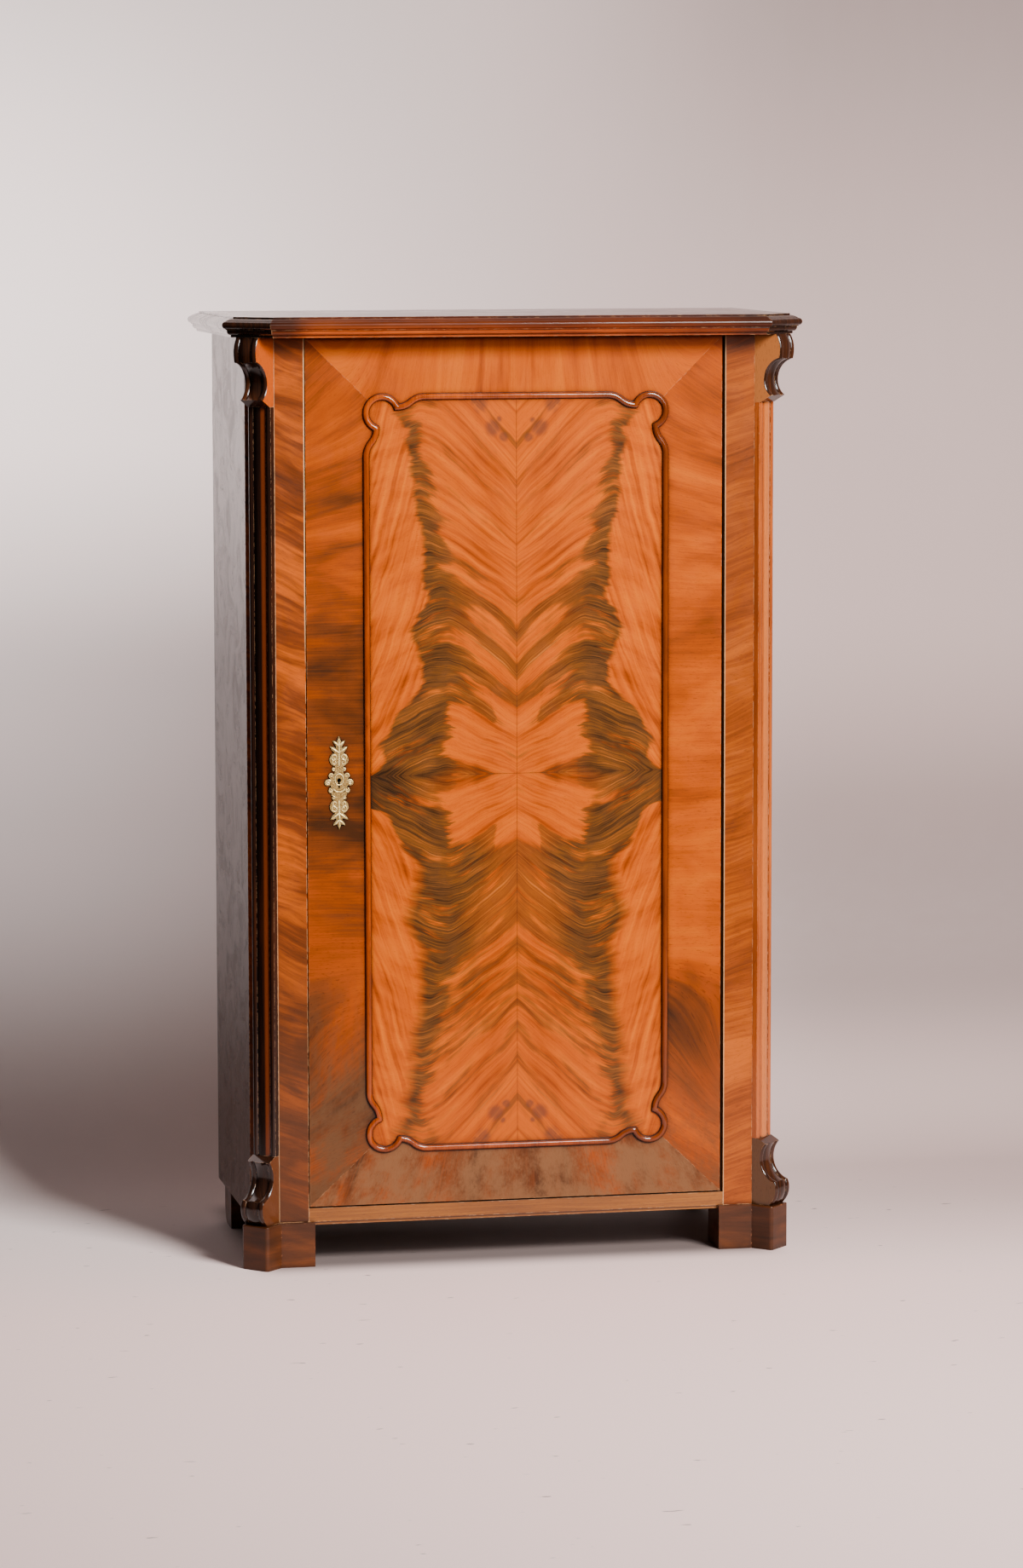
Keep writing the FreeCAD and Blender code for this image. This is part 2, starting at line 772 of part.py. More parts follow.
def panel_bead():
    """The whole bead: four runs and four lobes, separate lengths that are mitred where they meet."""
    top_run, lobe, side_run = bead_parts()
    top_end, side_end = lobe_points()[1:]
    top_flat = top_run[0][0]
    side_flat = side_run[1][1]
    top_start = (-top_end[0], top_end[1])
    top_steps = ogee(top_start, (-top_flat[0], top_flat[1]), 0) + top_run
    low_flat = (side_flat[0], -side_flat[1])
    side_steps = side_run[:2] + [(low_flat,)] + ogee(low_flat, (side_end[0], -side_end[1]), -math.pi / 2)
    top, top_begin, top_finish = bead_run(top_start, top_steps)
    side, side_begin, side_finish = bead_run(side_end, side_steps)
    corner, lobe_begin, lobe_finish = bead_run(top_end, lobe)
    top_mitre = top_finish + lobe_begin
    side_mitre = lobe_finish + side_begin
    cusp_top = vec(top_end[0], 0, bead_middle + top_end[1])
    cusp_side = vec(side_end[0], 0, bead_middle + side_end[1])
    corner = keep_side(keep_side(corner, cusp_top, top_mitre * -1), cusp_side, side_mitre)
    top = keep_side(top, cusp_top, top_mitre)
    top = keep_side(top, vec(-cusp_top.x, 0, cusp_top.z), vec(-top_mitre.x, 0, top_mitre.z))
    side = keep_side(side, cusp_side, side_mitre * -1)
    low_cusp = vec(side_end[0], 0, bead_middle - side_end[1])
    side = keep_side(side, low_cusp, vec(-side_mitre.x, 0, side_mitre.z))
    middle = vec(0, 0, bead_middle)
    up = vec(0, 0, 1)
    lower_corner = corner.mirror(middle, up)
    return Part.makeCompound([top, top.mirror(middle, up), side, mirrored(side), corner, mirrored(corner),
                              lower_corner, mirrored(lower_corner)])


def veneer_leaves():
    """The four matched leaves inside the bead: upper left, upper right, lower left, lower right."""
    whole = Part.Face(bead_line(0)).extrude(vec(0, veneer_thickness, 0))
    reach = bead_half_width + OVERRUN
    low = bead_bottom - OVERRUN
    high = bead_top + OVERRUN
    spans = [(-reach, 0, bead_middle, high), (0, reach, bead_middle, high),
             (-reach, 0, low, bead_middle), (0, reach, low, bead_middle)]
    return [whole.common(box(x0, x1, 0, veneer_thickness, z0, z1)) for x0, x1, z0, z1 in spans]


def veneer_borders():
    """The four mitred border veneers around the bead line: top, bottom, left, right."""
    inside = Part.Face(bead_line(0)).extrude(vec(0, veneer_thickness, 0))
    reach = bead_half_width - lobe_radius
    high = bead_top - lobe_radius
    low = bead_bottom + lobe_radius
    inner = [(-reach, high), (reach, high), (reach, low), (-reach, low)]
    outer = [(door_left, door_top), (door_right, door_top)]
    outer += [(door_right, door_bottom), (door_left, door_bottom)]
    pieces = []
    for first, second in ((0, 1), (2, 3), (3, 0), (1, 2)):
        corners = [outer[first], outer[second], inner[second], inner[first]]
        points = [vec(x, 0, z) for x, z in corners]
        slab = Part.Face(Part.makePolygon(points + points[:1])).extrude(vec(0, veneer_thickness, 0))
        pieces.append(slab.cut(inside))
    pieces[2] = pieces[2].cut(key_hole(-OVERRUN, veneer_thickness + OVERRUN))
    return pieces


# Lock

def key_hole(y0, y1):
    """A round hole with a slot below it, as wide as a key."""
    depth = y1 - y0
    hole = Part.makeCylinder(key_hole_radius, depth, vec(key_x, y0, key_height), vec(0, 1, 0))
    half = key_slot_width / 2
    slot = box(key_x - half, key_x + half, y0, y1, key_height - key_slot_length, key_height)
    return hole.fuse(slot).removeSplitter()


def lock_body(play):
    """The lock's outside: a case let into the door's inner face and its front plate in the edge."""
    y0 = door_back - lock_depth
    case = box(door_left, door_left + lock_length + play, y0 - play, door_back,
               key_height - lock_height / 2 - play, key_height + lock_height / 2 + play)
    selvedge = box(door_left, door_left + selvedge_thickness + play, y0 - play, y0 + selvedge_width,
                   key_height - selvedge_height / 2 - play, key_height + selvedge_height / 2 + play)
    return case.fuse(selvedge).removeSplitter()


def lock_space():
    return lock_body(joint_play)


def bolt_box(play, x0, x1):
    y_middle = door_back - lock_depth / 2
    z0 = key_height + bolt_above_key
    return box(x0, x1, y_middle - bolt_thickness / 2 - play, y_middle + bolt_thickness / 2 + play,
               z0 - play, z0 + bolt_height + play)


def lock_case():
    chamber_front = door_back - lock_depth + lock_wall
    chamber = Part.makeCylinder(key_chamber_radius, lock_depth - 2 * lock_wall,
                                vec(key_x, chamber_front, key_height), vec(0, 1, 0))
    channel = bolt_box(bolt_play, door_left - OVERRUN, door_left + bolt_length + bolt_play)
    hole = key_hole(door_back - lock_depth - OVERRUN, chamber_front + OVERRUN)
    return lock_body(0).cut(channel).cut(chamber).cut(hole)


def lock_bolt():
    """The sliding bolt, with the notch in its lower edge that the key turns it by."""
    bolt = bolt_box(0, door_left, door_left + bolt_length)
    notch_front = vec(key_x, door_back - lock_depth / 2 - bolt_thickness, key_height + bolt_above_key)
    return bolt.cut(Part.makeCylinder(talon_radius, 2 * bolt_thickness, notch_front, vec(0, 1, 0)))


def strike_body(play):
    y_middle = door_back - lock_depth / 2
    z_middle = key_height + bolt_above_key + bolt_height / 2
    return box(-opening_half - strike_thickness - play, -opening_half,
               y_middle - strike_width / 2 - play, y_middle + strike_width / 2 + play,
               z_middle - strike_height / 2 - play, z_middle + strike_height / 2 + play)


def strike_plate():
    window = bolt_box(strike_play, -opening_half - 2 * strike_thickness, -opening_half + OVERRUN)
    return strike_body(0).cut(window)


def left_corner_post():
    """The left post has the mortise that the bolt shoots into and the recess of its plate."""
    mortise = bolt_box(strike_play, -opening_half - bolt_mortise, -opening_half + OVERRUN)
    return mirrored(corner_post()).cut(mortise).cut(strike_body(0))


def leaf(up, length, width, lean):
    """A pointed leaf with straight edges that grows out of the escutcheon's middle line."""
    angle = math.radians(lean)
    forward = (math.sin(angle), math.cos(angle))

    edge = [(length * run, width * across) for run, across in leaf_edge]
    outline = [(0, 0)] + edge + [(length, 0)] + [(run, -across) for run, across in reversed(edge)]
    corners = [vec(key_x + forward[0] * run + forward[1] * across, 0,
                   key_height + up + forward[1] * run - forward[0] * across) for run, across in outline]
    return Part.Face(Part.makePolygon(corners + corners[:1])).extrude(vec(0, -escutcheon_thickness, 0))


def disc(out, up, radius, overrun=0.0):
    """A disc on the door, as thick as the escutcheon, or thicker to cut through it."""
    foot = vec(key_x + out, overrun, key_height + up)
    return Part.makeCylinder(radius, escutcheon_thickness + 2 * overrun, foot, vec(0, -1, 0))


def escutcheon():
    """The pierced plate round the keyhole: a lobed middle, a medallion above and below it,
    and a sprig of leaves at each end."""
    low, high, half = escutcheon_spine
    plate = disc(0, escutcheon_core[0], escutcheon_core[1])
    pieces = [box(key_x - half, key_x + half, -escutcheon_thickness, 0, key_height + low, key_height + high)]
    for out, up, radius in escutcheon_lobes:
        pieces += [disc(out, up, radius), disc(-out, up, radius)]
    for up, length, width, lean in escutcheon_leaves:
        pieces.append(leaf(up, length, width, lean))
        if lean % 180:
            pieces.append(leaf(up, length, width, -lean))
    plate = plate.fuse(pieces).removeSplitter()
    for out, up, radius in escutcheon_eyes:
        plate = plate.cut(disc(out, up, radius, OVERRUN)).cut(disc(-out, up, radius, OVERRUN))
    return plate.cut(key_hole(-2 * escutcheon_thickness, OVERRUN))


def export_carcass():
    export_pair("side_panel", side_panel())
    export("right_corner_post", corner_post())
    export("left_corner_post", left_corner_post())
    export("bottom_board", inner_board(floor_bottom, floor_height))
    export("inner_top_board", inner_board(under_cornice - board_thickness, under_cornice))
    for index in range(back_board_count):
        export("back_board_%d" % (index + 1), back_board(index))
    for index in range(shelf_count):
        export("shelf_%d" % (index + 1), shelf(index))
    export("shelf_bearers", shelf_bearers())
    export("bottom_rail", bottom_rail())
    export_pair("front_foot", front_foot())
    export_pair("plinth_block", plinth_block())
    export_pair("back_foot", back_foot())
    export_pair("reeded_strip", reeded_strip())
    export_pair("upper_console", console(upper_console, under_cornice, True))
    export_pair("lower_console", console(lower_console, foot_height, False))


def export_cornice():
    for index, name in enumerate(["right_side", "right_cant", "front", "left_cant", "left_side"]):
        export("cornice_" + name, cornice_run(index))
    front, back, right = top_rails()
    export("top_front_rail", front)
    export("top_back_rail", back)
    export("top_right_rail", right)
    export("top_left_rail", mirrored(right))
    export("top_panel", top_panel())


def export_door():
    export("door_left_stile", door_stile(False))
    export("door_right_stile", door_stile(True))
    export("door_bottom_rail", door_rail(False))
    export("door_top_rail", door_rail(True))
    export("door_panel", door_panel())
    leaf_names = ["upper_left", "upper_right", "lower_left", "lower_right"]
    for name, veneer in zip(leaf_names, veneer_leaves()):
        export("flame_veneer_" + name, veneer)
    for name, border in zip(["top", "bottom", "left", "right"], veneer_borders()):
        export("border_veneer_" + name, border)
    export("panel_bead", panel_bead())
    export("escutcheon", escutcheon())
    export("lock_case", lock_case())
    export("lock_bolt", lock_bolt())
    export("strike_plate", strike_plate())
    export("upper_pivot_plate", carcass_plate(under_cornice, -1))
    export("lower_pivot_plate", carcass_plate(rail_top, 1))
    export("upper_pivot_leaf", door_leaf(door_top - plate_thickness, door_top))
    export("lower_pivot_leaf", door_leaf(door_bottom, door_bottom + plate_thickness))


export_carcass()
export_cornice()
export_door()
print("footprint moved along Y by", y_to_centre)
print("pivot at", pivot_x, pivot_y + y_to_centre, "door from", door_left, "to", door_right)
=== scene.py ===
# %% [markdown]
# # A one-door mahogany cupboard
#
# The cupboard is veneered with flame mahogany and French polished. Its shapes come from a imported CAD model,
# one object for each board, moulding and hinge plate, and they stay as they are. This lesson gives them their
# finishes, and adds what is too fine for the CAD model: a round bead, the relief of a brass escutcheon, and
# small screws, pins and nails.

# %% Load the cupboard
import math

import bpy
from mathutils import Matrix, Vector


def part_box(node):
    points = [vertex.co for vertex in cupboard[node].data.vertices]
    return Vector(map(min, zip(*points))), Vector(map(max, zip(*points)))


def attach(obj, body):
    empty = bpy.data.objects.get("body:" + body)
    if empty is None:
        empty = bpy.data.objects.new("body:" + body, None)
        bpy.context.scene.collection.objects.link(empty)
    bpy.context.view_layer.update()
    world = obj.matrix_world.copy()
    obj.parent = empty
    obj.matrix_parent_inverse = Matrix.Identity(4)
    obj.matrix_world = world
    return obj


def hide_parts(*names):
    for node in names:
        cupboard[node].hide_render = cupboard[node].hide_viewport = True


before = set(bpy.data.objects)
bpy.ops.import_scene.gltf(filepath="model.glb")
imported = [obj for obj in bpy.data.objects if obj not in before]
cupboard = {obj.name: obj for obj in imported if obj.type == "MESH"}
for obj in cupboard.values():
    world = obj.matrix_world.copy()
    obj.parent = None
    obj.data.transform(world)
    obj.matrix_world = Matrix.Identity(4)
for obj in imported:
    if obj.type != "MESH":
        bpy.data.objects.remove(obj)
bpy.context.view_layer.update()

# %% [markdown]
# ## Sizes that the finishes need
#
# A veneer's figure has to sit where the joiner laid it: the flame leaves meet on a vertical and a horizontal
# seam. The seams are read from the boxes of the CAD pieces, so that the figure moves with them.

# %% Read the seams and the face of the door
MM = 0.001
leaf_low, leaf_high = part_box("flame_veneer_upper_left")
seam_x, seam_z = leaf_high.x, leaf_low.z
bead_low, bead_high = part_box("panel_bead")
door_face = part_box("border_veneer_left")[0].y
print("seams at x, z (mm):", round(seam_x / MM, 2), round(seam_z / MM, 2))

# %% [markdown]
# ## The camera
#
# A long lens from nearly eight metres keeps the uprights almost parallel, as in a catalogue picture. The
# camera is turned a little to the right and looks slightly down. Its place and its three angles are turned
# into one matrix, whose columns are the camera's right, up and backward directions.


# %% Set the camera
def add_object(name, data):
    made = bpy.data.objects.new(name, data)
    bpy.context.collection.objects.link(made)
    return made


camera_place = Vector((-1.5223, -7.69, 1.6096))
camera_yaw = 0.1984
camera_pitch = 0.1152
camera_roll = -0.0017

forward = Vector((math.sin(camera_yaw) * math.cos(camera_pitch),
                  math.cos(camera_yaw) * math.cos(camera_pitch), -math.sin(camera_pitch)))
level_right = Vector((math.cos(camera_yaw), -math.sin(camera_yaw), 0))
level_up = level_right.cross(forward)
right = math.cos(camera_roll) * level_right + math.sin(camera_roll) * level_up
up = math.cos(camera_roll) * level_up - math.sin(camera_roll) * level_right
lens = bpy.data.cameras.new("catalogue_lens")
lens.sensor_width = 36
lens.lens = 118.57
lens.clip_end = 60
camera = add_object("catalogue_camera", lens)
turn = Matrix((right, up, -forward)).transposed().to_4x4()
camera.matrix_world = Matrix.Translation(camera_place) @ turn
bpy.context.scene.camera = camera
print("camera looks along", tuple(round(v, 3) for v in forward))

# %% [markdown]
# ## Formulas made of nodes
#
# A material is a network of nodes, and most of these nodes only add or multiply numbers. Placed one by one
# they are hard to read. Here a signal stands for one output of a node. Python lets a class say what its own
# plus and times do, so signals are added and multiplied like plain numbers, and each sign adds a Math node.


# %% A signal
def sign(operation, swapped=False):
    """What a signal does for one of Python's signs: it adds a Math node."""
    def add_maths(self, other):
        return maths(operation, other, self) if swapped else maths(operation, self, other)
    return add_maths


class Signal:
    """One output of a node."""
    __add__, __sub__, __mul__ = sign("ADD"), sign("SUBTRACT"), sign("MULTIPLY")
    __truediv__, __pow__ = sign("DIVIDE"), sign("POWER")
    __rsub__, __rtruediv__ = sign("SUBTRACT", True), sign("DIVIDE", True)

    def __init__(self, socket):
        self.socket = socket
        self.tree = socket.id_data

    def __abs__(self):
        return maths("ABSOLUTE", self)


# %% Helpers that add nodes
def feed(socket, value):
    """Gives a socket a signal, or a plain value."""
    if isinstance(value, Signal):
        socket.id_data.links.new(value.socket, socket)
    else:
        socket.default_value = value


def add_node(tree, kind, values=None, **settings):
    """Adds a node, sets it up, and feeds its inputs by name or number."""
    made = tree.nodes.new(kind)
    for name, value in settings.items():
        setattr(made, name, value)
    for key, value in (values or {}).items():
        feed(made.inputs[key], value)
    return made


def signal(tree, kind, values=None, output=0, **settings):
    """Adds a node and gives one of its outputs."""
    return Signal(add_node(tree, kind, values, **settings).outputs[output])


def maths(operation, *values, clamp=False):
    tree = next(value.tree for value in values if isinstance(value, Signal))
    return signal(tree, "ShaderNodeMath", dict(enumerate(values)), operation=operation, use_clamp=clamp)


def dot(first, second):
    return signal(first.tree, "ShaderNodeVectorMath", {0: first, 1: second}, "Value", operation="DOT_PRODUCT")


def spread(value, low, high, to_low=0.0, to_high=1.0, smooth=True):
    """Maps low..high to to_low..to_high, and holds the ends."""
    return signal(value.tree, "ShaderNodeMapRange", {0: value, 1: low, 2: high, 3: to_low, 4: to_high},
                  interpolation_type="SMOOTHSTEP" if smooth else "LINEAR", clamp=True)


def noise(place, scale, detail=3.0, roughness=0.55, distortion=0.0):
    return signal(place.tree, "ShaderNodeTexNoise", {
        "Vector": place, "Scale": scale, "Detail": detail, "Roughness": roughness,
        "Distortion": distortion}, "Fac")


def join_axes(x, y, z):
    return signal(x.tree, "ShaderNodeCombineXYZ", {0: x, 1: y, 2: z})


def split_axes(place):
    return [Signal(socket) for socket in add_node(place.tree, "ShaderNodeSeparateXYZ", {0: place}).outputs]


def blend(amount, first, second):
    """The first number where the amount is 0, and the second where it is 1."""
    return signal(amount.tree, "ShaderNodeMix", {0: amount, 2: first, 3: second})


def object_place(tree):
    """Position on the object, in metres."""
    return signal(tree, "ShaderNodeTexCoord", output="Object")


def normal_of(tree, kind="Normal"):
    return signal(tree, "ShaderNodeNewGeometry", output=kind)


# %% Helpers for colours and curves
def tint(swatch):
    """A colour as read from a swatch, 0 to 255, turned into the linear numbers that a shader expects."""
    def linear(value):
        value /= 255
        return value / 12.92 if value <= 0.04045 else ((value + 0.055) / 1.055) ** 2.4
    return (*(linear(value) for value in swatch), 1.0)


def blend_colours(amount, first, second):
    """As blend, for colours. A colour is a signal or a swatch."""
    first, second = (c if isinstance(c, Signal) else tint(c) for c in (first, second))
    return signal(amount.tree, "ShaderNodeMix", {0: amount, 6: first, 7: second}, 2, data_type="RGBA")


def colour_steps(value, stops):
    """A colour ramp from (position, swatch) stops."""
    made = add_node(value.tree, "ShaderNodeValToRGB", {0: value})
    ramp = made.color_ramp
    while len(ramp.elements) < len(stops):
        ramp.elements.new(1.0)
    for element, (position, swatch) in zip(ramp.elements, stops):
        element.position = position
        element.color = tint(swatch)
    return Signal(made.outputs[0])


def curve_through(value, points):
    """A smooth curve through (value, result) points, both between 0 and 1."""
    made = add_node(value.tree, "ShaderNodeFloatCurve", {1: value})
    line = made.mapping.curves[0]
    for _ in points[2:]:
        line.points.new(0.5, 0.5)
    for point, place in zip(line.points, points):
        point.location = place
    made.mapping.update()
    return Signal(made.outputs[0])


# %% Helpers for node groups
def start_group(name, takes, gives, family="Shader"):
    """A node group. takes: each input's name, with its default number or the kind of its socket. gives: the
    names of the outputs, which are numbers in a shader group and geometry in a geometry group."""
    tree = bpy.data.node_groups.new(name, family + "NodeTree")
    kinds = {float: "Float", int: "Int", bool: "Bool"}
    for label, value in takes.items():
        kind = kinds.get(type(value), value)
        socket = tree.interface.new_socket(name=label, in_out="INPUT", socket_type=f"NodeSocket{kind}")
        if kind is not value:
            socket.default_value = value
    given = {"Shader": "Float", "Geometry": "Geometry"}[family]
    for label in gives:
        tree.interface.new_socket(name=label, in_out="OUTPUT", socket_type="NodeSocket" + given)
    took = {socket.name: Signal(socket) for socket in tree.nodes.new("NodeGroupInput").outputs}
    return tree, took, tree.nodes.new("NodeGroupOutput").inputs


def use_group(tree, group, values):
    made = add_node(tree, "ShaderNodeGroup", values, node_tree=group)
    return {socket.name: Signal(socket) for socket in made.outputs}


print("helpers are ready; a middle grey swatch is", round(tint((128, 128, 128))[0], 3))

# %% [markdown]
# ## Wood grain, shared by every wooden finish
#
# Mahogany shows three things at once: broad clouds of lighter and darker wood, stripes a few millimetres
# wide along the grain, and pores, the short dark dashes that catch old polish. All three are noise that is
# stretched along the grain. The group takes a position whose first axis runs along the grain, so one group
# serves upright, level and cross-grained boards.

# %% Build the grain group
grain_group, took, gave = start_group(
    "mahogany grain",
    {"Along": "Vector", "Seed": 0.0, "Cloud Size": 0.2, "Stripe Width": 0.006, "Waviness": 0.01},
    ["Cloud", "Stripes", "Pores"])
# cells of noise in one metre of wood
STRIPES_ALONG, PORES_ALONG, PORES_ACROSS = 7.0, 130.0, 1500.0
CLOUD_STRETCH = 0.45
along, across, through = split_axes(took["Along"])
seeded = through + took["Seed"] * 3.7
sway = noise(join_axes(along, across * 1.6, seeded), 5.0, 2.0) - 0.5
bent = across + sway * took["Waviness"]
cloud_place = join_axes(along * CLOUD_STRETCH / took["Cloud Size"], bent / took["Cloud Size"], seeded)
feed(gave["Cloud"], noise(cloud_place, 1.0, 3.0, 0.6, 0.6))
stripe_place = join_axes(along * STRIPES_ALONG, bent / took["Stripe Width"], seeded)
feed(gave["Stripes"], noise(stripe_place, 1.0, 4.0, 0.6))
pore_place = join_axes(along * PORES_ALONG, bent * PORES_ACROSS, seeded)
feed(gave["Pores"], spread(noise(pore_place, 1.0, 1.0), 0.6, 0.74))
print("grain group nodes:", len(grain_group.nodes))

# %% [markdown]
# ## Edge wear and settled dirt
#
# A hundred and fifty years of hands and dusters wear the polish off the corners, and push dirt into the
# quirks. The bevel node gives the normal that a rounded corner would have. Where it differs from the true
# normal there is an edge, and a noise breaks the line into nicks. Ambient occlusion finds the quirks.


# %% Build the wear group
def seeded_place(tree, seed):
    """Position on the object, moved by the seed so that two pieces differ."""
    return signal(tree, "ShaderNodeVectorMath", {0: object_place(tree), 1: seed}, operation="ADD")


wear_group, took, gave = start_group(
    "edge wear and dirt", {"Edge": 0.002, "Patchiness": 0.5, "Seed": 0.0, "Reach": 0.008},
    ["Worn", "Dirt"])
rounded = signal(wear_group, "ShaderNodeBevel", {"Radius": took["Edge"]}, samples=4)
edge = spread(dot(rounded, normal_of(wear_group)), 0.995, 0.86)
nicks = noise(seeded_place(wear_group, took["Seed"]), 90.0, 4.0, 0.7)
threshold = took["Patchiness"] * 0.28 + 0.36
feed(gave["Worn"], edge * spread(nicks - threshold, 0.0, 0.1))
hollow = signal(wear_group, "ShaderNodeAmbientOcclusion", {"Distance": took["Reach"]}, "AO", samples=6)
feed(gave["Dirt"], spread(hollow, 0.93, 0.55))
print("wear group nodes:", len(wear_group.nodes))

# %% [markdown]
# ## Hand-rubbed polish
#
# Shellac is rubbed on with a pad, over wood that has shrunk a little since. Its surface is glossy, but it
# waves, so that reflections of a window bend. The group gives a slow wave for the bump and a smear of
# fingerprints and dust for the roughness. Dust lies mostly on faces that look up.

# %% Build the polish group
polish_group, took, gave = start_group(
    "hand rubbed polish", {"Wave Size": 0.03, "Seed": 0.0}, ["Wave", "Smear", "Dust"])
place = seeded_place(polish_group, took["Seed"])
feed(gave["Wave"], noise(place, 1.0 / took["Wave Size"], 2.0, 0.45))
feed(gave["Smear"], spread(noise(place, 14.0, 5.0, 0.65, 1.2), 0.4, 0.7))
upward = split_axes(normal_of(polish_group))[2]
feed(gave["Dust"], spread(upward, 0.5, 0.95) * spread(noise(place, 60.0, 4.0), 0.25, 0.7))
print("polish group nodes:", len(polish_group.nodes))

# %% [markdown]
# ## A maker for polished wood
#
# Every polished board has the same build-up: wood colour from the clouds and stripes, darker pores, dirt in
# the quirks, pale worn edges, and a clear coat on top. The maker takes three swatches of the wood, the axis
# of the grain, and how worn and how glossy the piece is. It ends in a Principled shader whose constant gloss
# values are set on the shader itself.


# %% Order the axes along the grain
def along_grain(tree, direction):
    """The three axes of the object, with the one along the grain first."""
    x, y, z = split_axes(object_place(tree))
    return {"x": (x, z, y), "z": (z, x, y)}[direction]


# %% Start and feed a material
def start_material(name):
    made = bpy.data.materials.new(name)
    made.use_nodes = True
    return made, made.node_tree, made.node_tree.nodes["Principled BSDF"]


def feed_shader(shader, colour, roughness, height, strength, distance):
    """Gives a shader its colour and roughness, and bumps of a height."""
    bump = signal(shader.id_data, "ShaderNodeBump", {
        "Strength": strength, "Distance": distance, "Height": height})
    for name, value in (("Base Color", colour), ("Roughness", roughness), ("Normal", bump)):
        feed(shader.inputs[name], value)


# %% Polish over a wood colour
PORE_SHADE, PORE_DEPTH = 0.45, 0.035
WORN_DEPTH = 0.06
SMEAR_DULLS, WORN_DULLS, DUST_DULLS = 0.12, 0.25, 0.8
pore_swatch, dirt_swatch, dust_swatch = (40, 20, 12), (18, 10, 8), (170, 150, 138)


def polish_over(shader, colour, pores, figure, seed, edge=0.0016, wear=0.5, patchiness=0.5,
                worn=(214, 160, 112), dirt=0.6, reach=0.008, dust=0.35, roughness=0.3, wave=0.1, coat=0.5,
                level=0.3, grain_height=0.02):
    """Adds wear, dirt, dust, roughness and bump to a wood colour, and feeds the shader."""
    tree = shader.id_data
    aged = use_group(tree, wear_group, {"Edge": edge, "Patchiness": patchiness, "Seed": seed, "Reach": reach})
    rubbed = use_group(tree, polish_group, {"Seed": seed})
    for amount, swatch in ((pores * PORE_SHADE, pore_swatch), (aged["Dirt"] * dirt, dirt_swatch),
                           (aged["Worn"] * wear, worn), (rubbed["Dust"] * dust, dust_swatch)):
        colour = blend_colours(amount, colour, swatch)
    gloss = rubbed["Smear"] * SMEAR_DULLS + roughness + aged["Worn"] * WORN_DULLS
    gloss = maths("ADD", gloss, rubbed["Dust"] * (dust * DUST_DULLS), clamp=True)
    height = rubbed["Wave"] * wave - pores * PORE_DEPTH - aged["Worn"] * WORN_DEPTH
    feed_shader(shader, colour, gloss, height + figure * grain_height, 0.35, 0.002)
    for name, value in (("Coat Weight", coat), ("Coat Roughness", 0.09), ("Specular IOR Level", level)):
        shader.inputs[name].default_value = value


# %% Masks for places on a piece
def place_mask(direction, start, end, amount):
    """Grows from 0 to amount between two distances along a direction."""
    return lambda tree: spread(dot(object_place(tree), direction), start, end, 0.0, amount)


def band_mask(direction, centre, half_width, amount):
    """A soft band about a distance along a direction."""
    return lambda tree: spread(
        abs(dot(object_place(tree), direction) - centre), half_width, half_width * 0.5, 0.0, amount)


def facing_mask(direction, amount):
    """The faces that look along a direction."""
    return lambda tree: spread(dot(normal_of(tree, "True Normal"), direction), 0.93, 0.98, 0.0, amount)


def both_masks(first, second):
    return lambda tree: first(tree) * second(tree)


# %% Finish a wooden surface
def wood(name, swatches, direction, seed, cloud=0.2, stripe=0.006, waviness=0.01, lean=0.0, patches=(),
         balance=(0.55, 0.75, -0.15), steps=(0.26, 0.48, 0.7), pore=1.0, **finish):
    """swatches: dark, middle and light wood, at steps of the tone. balance: how much the stripes and the
    cloud add to the tone, and its start. lean: how much the grain climbs along the direction. patches:
    (mask, swatch) pairs, laid over the grain where the wood is duller, lighter or dirty."""
    made, tree, shader = start_material(name)
    along, across, through = along_grain(tree, direction)
    grain = use_group(tree, grain_group, {
        "Along": join_axes(along, across - along * lean, through), "Seed": seed, "Cloud Size": cloud,
        "Stripe Width": stripe, "Waviness": waviness})
    tone = grain["Stripes"] * balance[0] + grain["Cloud"] * balance[1] + balance[2]
    colour = colour_steps(tone, list(zip(steps, swatches)))
    for mask, swatch in patches:
        colour = blend_colours(mask(tree), colour, swatch)
    polish_over(shader, colour, grain["Pores"] * pore, grain["Stripes"], seed, **finish)
    return made


# %% [markdown]
# ## Posts, rail and sides
#
# The veneer of the front posts lies with its grain across them, so their strokes run nearly level and climb a
# little. The lower half of the left one is painted darker, as painted shade. The side boards stand in shade
# and are dark, plain and upright. Each finish is the same maker with its own swatches and a few patches laid
# over
# them: the pale arrises are bands of painted highlight, and the pale face behind the right strip is a painted
# reflection, found by a mask for its direction.

# %% Finish the posts, the rail and the sides
post_front = [v.co.x for v in cupboard["right_corner_post"].data.vertices
              if v.co.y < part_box("right_corner_post")[0].y + 0.5 * MM]
arris_x, opening_x = max(post_front), min(post_front)
x_axis, z_axis = (1, 0, 0), (0, 0, 1)
